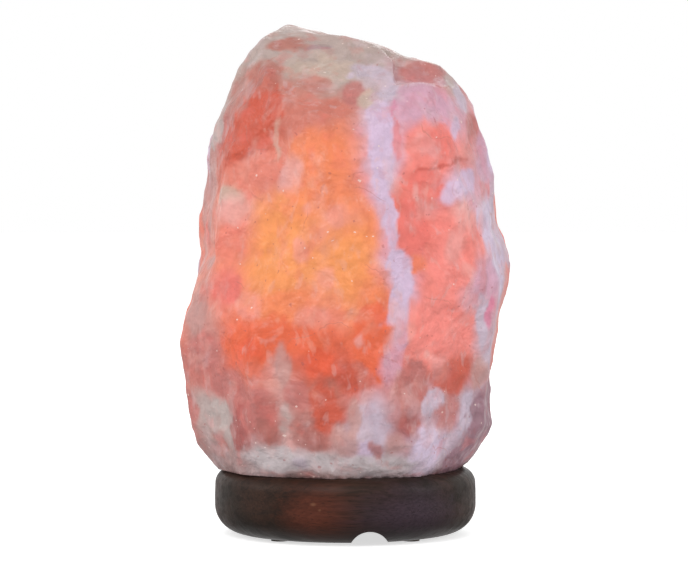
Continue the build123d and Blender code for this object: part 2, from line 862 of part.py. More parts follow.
with BuildPart() as filament:
    with BuildLine():
        ends = wire_top + filament_radius
        run = ThreePointArc((-wire_spread, 0, ends), (0, 0, ends + filament_sag), (wire_spread, 0, ends))
    with BuildSketch(Plane(origin=run @ 0, z_dir=run % 0)):
        Circle(filament_radius)
    sweep()
write(filament, "filament")
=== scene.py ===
# %% [markdown]
# # A salt crystal lamp
#
# A block of pink rock salt, hewn to shape and drilled from below, stands on a turned wooden base. A small
# bulb inside lights it, so the salt glows orange where it is clear and stays milky where it is not. This
# lesson dresses a finished construction model: the pieces already have their sizes and places, and what
# is left is the hewn surface, the minerals in the salt, the stained wood and the small metal parts.
#
# The construction model comes first, because every piece rides on one of its bodies.

# %% Load the construction model
import json
import random
from math import atan2, cos, pi, radians, sin, tau

import bpy
import numpy as np
from mathutils import Matrix, Vector, noise


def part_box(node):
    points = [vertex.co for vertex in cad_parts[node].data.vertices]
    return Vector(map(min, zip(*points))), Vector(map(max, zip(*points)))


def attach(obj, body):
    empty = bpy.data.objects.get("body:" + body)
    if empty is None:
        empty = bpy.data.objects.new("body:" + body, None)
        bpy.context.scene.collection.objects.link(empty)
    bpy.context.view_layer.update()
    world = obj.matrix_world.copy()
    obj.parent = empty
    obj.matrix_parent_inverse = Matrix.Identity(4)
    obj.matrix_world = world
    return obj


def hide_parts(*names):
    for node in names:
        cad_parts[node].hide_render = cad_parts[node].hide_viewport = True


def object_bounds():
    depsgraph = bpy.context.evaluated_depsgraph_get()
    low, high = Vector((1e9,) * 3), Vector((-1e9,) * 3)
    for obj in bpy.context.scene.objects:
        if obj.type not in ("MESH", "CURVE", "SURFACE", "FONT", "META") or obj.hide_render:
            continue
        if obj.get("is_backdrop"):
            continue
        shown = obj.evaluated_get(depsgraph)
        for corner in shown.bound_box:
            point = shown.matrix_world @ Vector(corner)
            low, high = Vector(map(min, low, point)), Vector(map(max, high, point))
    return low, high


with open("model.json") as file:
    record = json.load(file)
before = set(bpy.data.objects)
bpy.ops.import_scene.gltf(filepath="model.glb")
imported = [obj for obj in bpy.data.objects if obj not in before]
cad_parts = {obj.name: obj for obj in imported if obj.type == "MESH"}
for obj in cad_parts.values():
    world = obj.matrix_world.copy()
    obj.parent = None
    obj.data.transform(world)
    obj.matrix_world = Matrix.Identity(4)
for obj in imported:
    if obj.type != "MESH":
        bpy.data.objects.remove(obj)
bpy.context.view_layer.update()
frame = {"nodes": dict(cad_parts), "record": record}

MM = 0.001
TINY = 0.01 * MM

# %% [markdown]
# Two small habits save trouble later. An operator acts on everything that is selected, so the selection
# is cleared before each one. And a modifier that shapes a mesh is applied at once, so that the next step
# sees its result.

# %% Selecting one object, and applying a modifier
def pick(piece):
    """Select this object alone."""
    bpy.ops.object.select_all(action="DESELECT")
    bpy.context.view_layer.objects.active = piece
    piece.select_set(True)


def modify(piece, kind, **settings):
    """Add one modifier and apply it."""
    modifier = piece.modifiers.new(kind.lower(), kind)
    for name, value in settings.items():
        setattr(modifier, name, value)
    pick(piece)
    bpy.ops.object.modifier_apply(modifier=modifier.name)


def count_triangles(piece):
    """How many triangles a mesh has."""
    piece.data.calc_loop_triangles()
    return len(piece.data.loop_triangles)


# %% [markdown]
# ## The camera
#
# The lamp was photographed from about two metres away with a long lens, hardly above the middle of the
# crystal, which is why the base's rim is only a slight curve. The camera looks along +Y, so the side with
# the cord notch faces it. The Standard view keeps a colour as it is written.

# %% Camera
LOOKED_AT = Vector((-0.0006, 0.0, 0.1149))
CAMERA_DISTANCE = 2.0
CAMERA_HEIGHT_ANGLE = radians(3.3)
LENS = 228.0

bpy.ops.object.camera_add()
camera = bpy.context.object
camera.name = "camera"
camera.data.lens = LENS
towards_camera = Vector((0, -cos(CAMERA_HEIGHT_ANGLE), sin(CAMERA_HEIGHT_ANGLE)))
camera.location = LOOKED_AT + CAMERA_DISTANCE * towards_camera
camera.rotation_euler = (pi / 2 - CAMERA_HEIGHT_ANGLE, 0, 0)
bpy.context.scene.camera = camera
bpy.context.scene.view_settings.view_transform = "Standard"

# %% [markdown]
# ## Wiring materials
#
# Every finish here is a small tree of shader nodes. One helper turns a colour as it is seen on a screen
# into the linear numbers that a shader wants. The other starts a material with its shader and the object's
# own coordinates in millimetres, and its methods add, fill and link the nodes. Object coordinates are the
# lamp's own space, so a pattern stays put on its piece.

# %% Helpers for materials
WHITE = (1.0, 1.0, 1.0, 1.0)


def seen(red, green, blue):
    """A colour as a screen shows it, 0 to 255, made linear."""
    shares = [value / 255 for value in (red, green, blue)]
    linear = [((share + 0.055) / 1.055) ** 2.4 if share > 0.04 else share / 12.92 for share in shares]
    return (*linear, 1.0)


class Finish:
    """A material, its principled shader and its coordinates in millimetres."""

    def __init__(self, name, **shader):
        self.material = bpy.data.materials.new(name)
        self.material.use_nodes = True
        self.tree = self.material.node_tree
        self.shader = self.tree.nodes["Principled BSDF"]
        for socket, value in shader.items():
            self.shader.inputs[socket.replace("_", " ")].default_value = value
        place = self.node("ShaderNodeTexCoord").outputs["Object"]
        self.mm = self.node("ShaderNodeVectorMath", {0: place, "Scale": 1 / MM}, operation="SCALE").outputs[0]

    def node(self, kind, inputs=None, **settings):
        """Add one node, and link or fill its inputs."""
        made = self.tree.nodes.new(kind)
        for name, value in settings.items():
            setattr(made, name, value)
        for socket, value in (inputs or {}).items():
            if isinstance(value, bpy.types.NodeSocket):
                self.tree.links.new(value, made.inputs[socket])
            else:
                made.inputs[socket].default_value = value
        return made

    def link(self, socket, value):
        """Link one input of the shader."""
        self.tree.links.new(value, self.shader.inputs[socket])

    def math(self, operation, first, second=0.0, clamp=False):
        """One step of arithmetic."""
        inputs = {0: first, 1: second}
        return self.node("ShaderNodeMath", inputs, operation=operation, use_clamp=clamp).outputs[0]

    def noise(self, size, where=None, detail=2.0, rough=0.5, stretch=None, colour=False, distort=0.0):
        """Cloudy noise whose blotches are about size millimetres across, longer where stretch says so."""
        where = self.mm if where is None else where
        if stretch is not None:
            squeeze = tuple(1 / s for s in stretch)
            where = self.node("ShaderNodeVectorMath", {0: where, 1: squeeze}, operation="MULTIPLY").outputs[0]
        inputs = {
            "Vector": where, "Scale": 1 / size, "Detail": detail, "Roughness": rough, "Distortion": distort,
        }
        return self.node("ShaderNodeTexNoise", inputs).outputs["Color" if colour else "Fac"]

    def ramp(self, value, low, high, to_low=0.0, to_high=1.0):
        """Smooth step of a value from low..high to to_low..to_high."""
        inputs = {"Value": value, "From Min": low, "From Max": high, "To Min": to_low, "To Max": to_high}
        return self.node("ShaderNodeMapRange", inputs, interpolation_type="SMOOTHSTEP").outputs["Result"]

    def blend(self, share, below, above):
        """Lay one colour over another."""
        return self.node("ShaderNodeMix", {0: share, 6: below, 7: above}, data_type="RGBA").outputs[2]

    def bump(self, height, depth_mm, strength=1.0, under=None):
        """Turn a height from 0 to 1 into a surface that is depth_mm deep."""
        inputs = {"Height": height, "Distance": depth_mm * MM, "Strength": strength}
        if under is not None:
            inputs["Normal"] = under
        return self.node("ShaderNodeBump", inputs).outputs["Normal"]


def dress(node, finish):
    """Give a construction node its finish."""
    slots = frame["nodes"][node].data.materials
    for number in range(len(slots)):
        slots[number] = finish.material
    if not slots:
        slots.append(finish.material)


# %% [markdown]
# ## Light, floor and background
#
# A plain studio: an even pale surround, one broad soft light from the front and above, and weaker ones at
# each side and behind. They are set so that a mid colour renders about as it is written. The background is
# white because the surround and the floor are white to the camera, not because there is more light. The
# surround is as white in glass and in shiny metal.

# %% Surround
SURROUND = 0.46

world = bpy.data.worlds.new("surround")
bpy.context.scene.world = world
world.use_nodes = True
sky = world.node_tree
white_to_camera = sky.nodes.new("ShaderNodeBackground")
white_to_camera.inputs["Color"].default_value = WHITE
light_path = sky.nodes.new("ShaderNodeLightPath")
sees_white = light_path.outputs["Is Camera Ray"]
for ray in ("Is Transmission Ray", "Is Glossy Ray"):
    either_ray = sky.nodes.new("ShaderNodeMath")
    either_ray.operation = "MAXIMUM"
    sky.links.new(sees_white, either_ray.inputs[0])
    sky.links.new(light_path.outputs[ray], either_ray.inputs[1])
    sees_white = either_ray.outputs[0]
surround = sky.nodes["Background"]
surround.inputs["Color"].default_value = WHITE
surround.inputs["Strength"].default_value = SURROUND
either = sky.nodes.new("ShaderNodeMixShader")
sky.links.new(sees_white, either.inputs["Fac"])
sky.links.new(surround.outputs[0], either.inputs[1])
sky.links.new(white_to_camera.outputs[0], either.inputs[2])
sky.links.new(either.outputs[0], sky.nodes["World Output"].inputs["Surface"])

# %% Soft lights
LIGHTS = (
    # name, place in metres, size in metres, power in watts
    ("front_light", (-0.35, -1.1, 1.0), 0.9, 9.0),
    ("left_light", (-1.3, -0.2, 0.6), 0.7, 3.0),
    ("right_light", (1.3, -0.3, 0.5), 0.7, 4.2),
    ("back_light", (0.2, 1.2, 0.9), 0.9, 4.2),
)
for name, place, size, power in LIGHTS:
    bpy.ops.object.light_add(type="AREA", location=place)
    light = bpy.context.object
    light.name = name
    light.data.size = size
    light.data.energy = power
    light.rotation_euler = (LOOKED_AT - Vector(place)).to_track_quat("-Z", "Y").to_euler()

# %% Floor
FLOOR_SIZE = 6.0
FLOOR_LIFT = 0.66

bpy.ops.mesh.primitive_plane_add(size=FLOOR_SIZE)
floor = bpy.context.object
floor.name = "floor"
floor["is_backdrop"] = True
floor_finish = Finish("white_floor", Base_Color=(0.8, 0.8, 0.8, 1), Roughness=0.9, Emission_Color=WHITE)
floor_path = floor_finish.node("ShaderNodeLightPath")
floor_lift = floor_finish.math("MULTIPLY", floor_path.outputs["Is Camera Ray"], FLOOR_LIFT)
floor_finish.link("Emission Strength", floor_lift)
# From below the floor isn't there, so that the underside of the lamp can be looked at
below = floor_finish.node("ShaderNodeNewGeometry").outputs["Backfacing"]
# Nor is it there for light that starts just above it, so that the underside of the lamp isn't black
CLOSE = 12.0 * MM
close = floor_finish.math("LESS_THAN", floor_path.outputs["Ray Length"], CLOSE)
bounced = floor_finish.math("SUBTRACT", close, floor_path.outputs["Is Camera Ray"], clamp=True)
below = floor_finish.math("MAXIMUM", below, bounced)
see_through = floor_finish.node("ShaderNodeBsdfTransparent")
floor_mix = floor_finish.node("ShaderNodeMixShader", {"Fac": below})
floor_finish.tree.links.new(floor_finish.shader.outputs[0], floor_mix.inputs[1])
floor_finish.tree.links.new(see_through.outputs[0], floor_mix.inputs[2])
floor_output = floor_finish.tree.nodes["Material Output"]
floor_finish.tree.links.new(floor_mix.outputs[0], floor_output.inputs["Surface"])
floor.data.materials.append(floor_finish.material)

# %% [markdown]
# ## The hewn crystal
#
# The construction model has the block with its broad faces. A real block has been struck all over with a
# small hammer, and rain or sanding has softened it since. So a copy of the block loses a shaving wherever
# it sticks out furthest, which leaves flat facets, and then gets an even skin of small faces that fine
# relief can move. The relief is scallops, as a chisel leaves, under a gentle waviness. It goes as far
# out as in, so the block keeps its size, and it spares the drilled bore and the foot.

# %% Copy the block and take shavings off it
SHAVINGS = 46
CHISEL_SEED = 11
# The golden share of a turn, which spreads the shavings evenly round the block
TURN_SHARE = 0.381966
SHAVING_DEPTHS = (0.3 * MM, 1.1 * MM)
SHAVING_LEAN = radians(38.0)

block = frame["nodes"]["salt_crystal"]
crystal_low, crystal_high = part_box("salt_crystal")
crystal = bpy.data.objects.new("hewn_crystal", block.data.copy())
bpy.context.scene.collection.objects.link(crystal)
crystal.data.materials.clear()
pick(crystal)
bpy.ops.object.mode_set(mode="EDIT")
bpy.ops.mesh.select_all(action="SELECT")
bpy.ops.mesh.remove_doubles(threshold=TINY)
bpy.ops.object.mode_set(mode="OBJECT")

chisel = random.Random(CHISEL_SEED)
for shaving in range(SHAVINGS):
    compass = tau * shaving * TURN_SHARE
    lean = chisel.uniform(-SHAVING_LEAN, SHAVING_LEAN)
    outward = Vector((cos(lean) * cos(compass), cos(lean) * sin(compass), sin(lean)))
    furthest = max(vertex.co.dot(outward) for vertex in crystal.data.vertices)
    depth = chisel.uniform(*SHAVING_DEPTHS)
    bpy.ops.object.mode_set(mode="EDIT")
    bpy.ops.mesh.select_all(action="SELECT")
    bpy.ops.mesh.bisect(
        plane_co=outward * (furthest - depth),
        plane_no=outward,
        use_fill=True,
        clear_outer=True,
    )
    bpy.ops.object.mode_set(mode="OBJECT")
print("block after shaving:", count_triangles(crystal), "triangles")

# %% An even skin, softened
SKIN = 1.25 * MM

modify(crystal, "REMESH", mode="VOXEL", voxel_size=SKIN)
modify(crystal, "SMOOTH", factor=0.5, iterations=3)

# %% Relief that spares the bore and the foot
# The bore is narrower than this round the axis, and ends further than this below the top
BORE_REACH = 24.0 * MM
BORE_BELOW_TOP = 50.0 * MM
FOOT = crystal_low.z
FOOT_MARGIN = 3.0 * MM
FOOT_FLAT = 0.6 * MM

relief_group = crystal.vertex_groups.new(name="relief")
for vertex in crystal.data.vertices:
    from_axis = Vector(vertex.co.xy).length
    in_bore = from_axis < BORE_REACH and vertex.co.z < crystal_high.z - BORE_BELOW_TOP
    share = 0.0 if in_bore else min(1.0, (vertex.co.z - FOOT) / FOOT_MARGIN)
    if share > 0:
        relief_group.add([vertex.index], share, "REPLACE")


def relief(name, kind, size, depth, mid_level, **settings):
    """Move the skin in and out by a procedural texture of this size."""
    texture = bpy.data.textures.new(name, kind)
    texture.noise_scale = size
    for setting, value in settings.items():
        setattr(texture, setting, value)
    modify(crystal, "DISPLACE", texture=texture, texture_coords="LOCAL", strength=depth,
           mid_level=mid_level, vertex_group="relief")


relief("waves", "CLOUDS", 26 * MM, 2.4 * MM, 0.4)
relief("scallops", "VORONOI", 15 * MM, 2.3 * MM, 0.45, distance_metric="DISTANCE")
relief("small_scallops", "VORONOI", 6.5 * MM, 0.7 * MM, 0.45)
relief("grit", "CLOUDS", 3.2 * MM, 0.22 * MM, 0.5, noise_depth=3)
modify(crystal, "SMOOTH", factor=0.3, iterations=1)

# The foot is sawn flat, so that the block stands on the base
for vertex in crystal.data.vertices:
    if vertex.co.z < FOOT + FOOT_FLAT:
        vertex.co.z = FOOT
pick(crystal)
bpy.ops.object.shade_smooth_by_angle(angle=radians(40))
print("crystal:", count_triangles(crystal), "triangles")

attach(crystal, "lamp_body")
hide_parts("salt_crystal")

# %% [markdown]
# ## The minerals in the salt
#
# Rock salt is layered: clear orange-red salt lets the bulb's light through, milky salt scatters it, and
# thin lilac-white veins run between them. The zones are laid on one after another, each an egg-shaped
# region whose edge is broken up by noise. A zone's place is given as it looks to someone two metres away,
# measured on an upright plane through the lamp's axis, and a ray finds where it meets the salt.

# %% Where the salt lies behind a point of the upright plane
FRONT, RIGHT, BACK, LEFT = -90.0, 0.0, 90.0, 180.0


def on_surface(across, up, compass=FRONT):
    """The point of the salt seen at this place, in mm, from this side. Across runs to the viewer's right."""
    turn = radians(compass)
    outward = Vector((cos(turn), sin(turn), 0))
    sideways = Vector((-sin(turn), cos(turn), 0))
    level = CAMERA_DISTANCE * cos(CAMERA_HEIGHT_ANGLE)
    eye = outward * level + Vector((0, 0, LOOKED_AT.z + CAMERA_DISTANCE * sin(CAMERA_HEIGHT_ANGLE)))
    aim = sideways * across * MM + Vector((0, 0, up * MM))
    hit, place, _, _ = crystal.ray_cast(eye, (aim - eye).normalized())
    return (place if hit else aim) / MM


# %% Colours of the salt, as they look lit from inside
MILK = seen(206, 194, 196)
# The milky salt of the foot, darkened with painted shade
SHADED_FOOT_MILK = seen(168, 136, 133)
GREY_MILK = seen(190, 174, 170)
# Milky salt, paler and bluer with painted light from the right
COOL_LIT_MILK = seen(218, 199, 222)
LILAC_MILK = seen(202, 184, 200)
LILAC = seen(214, 188, 214)
PINK_LILAC = seen(214, 164, 184)
CLOUD_PINK = seen(240, 152, 136)
PALE_PINK = seen(236, 172, 166)
MAUVE = seen(155, 116, 128)
PINK = seen(228, 136, 140)
MAGENTA = seen(222, 118, 150)
BEIGE = seen(200, 176, 160)
GREY_ROSE = seen(196, 146, 140)
ROSE = seen(192, 114, 108)
DARK_ROSE = seen(168, 88, 84)
BROWN = seen(172, 104, 96)
BROWN_ROSE = seen(184, 108, 94)
SALMON_BROWN = seen(204, 118, 102)
GREY_MAUVE = seen(184, 163, 156)
SALMON_ROSE = seen(226, 130, 112)
SALMON = seen(236, 132, 112)
PINK_SALMON = seen(238, 146, 130)
PINKER_SALMON = seen(247, 139, 129)
CORAL = seen(234, 118, 108)
RED = seen(202, 88, 66)
DARK_RED = seen(190, 78, 64)
BRIGHT_RED = seen(230, 94, 62)
RED_ORANGE = seen(234, 106, 70)
ORANGE = seen(241, 134, 90)
GLOW = seen(246, 153, 90)

# %% [markdown]
# A shader could hold each zone as a few nodes, but a hundred zones and more are too many for it. The skin
# has a point every millimetre or so, which is fine enough for broad zones, so they are painted on its
# points once, as a colour attribute. What is finer than that, such as grain and cracks, is left to the
# shader. Noise pushes each point about before it is looked up, so that the edges of the zones wander.

# %% The skin's points, and how far noise pushes them
points = np.empty(3 * len(crystal.data.vertices))
crystal.data.vertices.foreach_get("co", points)
points = points.reshape(-1, 3) / MM


def pushed(places, size, reach, shift):
    """Places pushed about by noise of this size, by up to about reach, in mm."""
    push = [noise.noise_vector(Vector(place) / size + Vector((shift, 0, 0))) for place in points]
    return places + reach * np.array(push)


# Without a seed, noise_vector starts from the clock and the zones differ from run to run
NOISE_SEED = 3

noise.seed_set(NOISE_SEED)
loose = pushed(pushed(points, 30.0, 9.0, 0.0), 6.0, 2.0, 7.0)
tight = pushed(pushed(points, 12.0, 3.2, 20.0), 5.0, 1.4, 30.0)
TORN_SIZE = 8.0
TORN_SHARE = 0.42
stretched = points * (1.0, 1.0, 0.6) / TORN_SIZE
torn_edge = TORN_SHARE * np.array([noise.fractal(Vector(place), 0.8, 2.1, 3) for place in stretched])


def step(values, low, high):
    """Smooth step of values from low to high, which may also fall."""
    share = np.clip((values - low) / (high - low), 0.0, 1.0)
    return share * share * (3 - 2 * share)


def cover(painted, share, colour):
    """Lay a colour, or one for each point, over what is painted."""
    over = colour if isinstance(colour, np.ndarray) else np.array(colour[:3])
    return painted + share[:, None] * (over - painted)


def from_middle(places, middle, lean, compass, half_sizes):
    """How far places are from the middle of a zone along its own three ways, in half sizes."""
    turned = Matrix.Rotation(radians(compass - FRONT), 3, "Z") @ Matrix.Rotation(radians(lean), 3, "Y")
    return (places - np.array(middle)) @ np.array(turned) / half_sizes


def zone(places, middle, half_sizes, lean=0.0, edge=0.35, share=1.0, compass=FRONT):
    """How much of each point lies in an egg-shaped zone: share inside, and 0 outside."""
    away = np.linalg.norm(from_middle(places, middle, lean, compass, half_sizes), axis=1)
    return share * step(away + torn_edge, 1 + edge, 1 - edge)


# %% The ground: grey at the top, milky at the foot, salmon between, and painted shade low down
TORN_LEVELS = 9.0
GROUND_CLOUD = 22.0
GROUND_LAYERS = (
    # colour, the height in mm where it starts, and the height where it is full
    # The first two layers, grey rose and then the foot's milk, are greyer and darker low down: partly painted
    # shade
    (GREY_ROSE, 76, 58),
    (SHADED_FOOT_MILK, 60, 44),
    (GREY_MAUVE, 192, 212),
)

upward = loose[:, 2] + TORN_LEVELS * torn_edge
cloud = np.array([noise.noise(Vector(place) / GROUND_CLOUD) for place in points])
painted = cover(np.tile(SALMON[:3], (len(points), 1)), step(cloud, -0.3, 0.3), PINK_SALMON)
for colour, starts, full in GROUND_LAYERS:
    painted = cover(painted, step(upward, starts, full), colour)

# %% The glow of the bulb through the clearest salt
BULB_GLOW = (-14.0, -6.0, 122.0)
ORANGE_REACH = (46, 80, 60)
LIT_REACH = (62, 90, 72)

painted = cover(painted, zone(loose, BULB_GLOW, ORANGE_REACH, edge=0.45), ORANGE)
lit_points = zone(loose, BULB_GLOW, LIT_REACH, edge=0.6)

# %% [markdown]
# The zones are read off the lamp one by one, as a painter would: how far across from the axis, how high
# above the table, how wide and high from the middle to the edge, how many degrees it leans to the right,
# how soft its edge is and how strongly it covers.

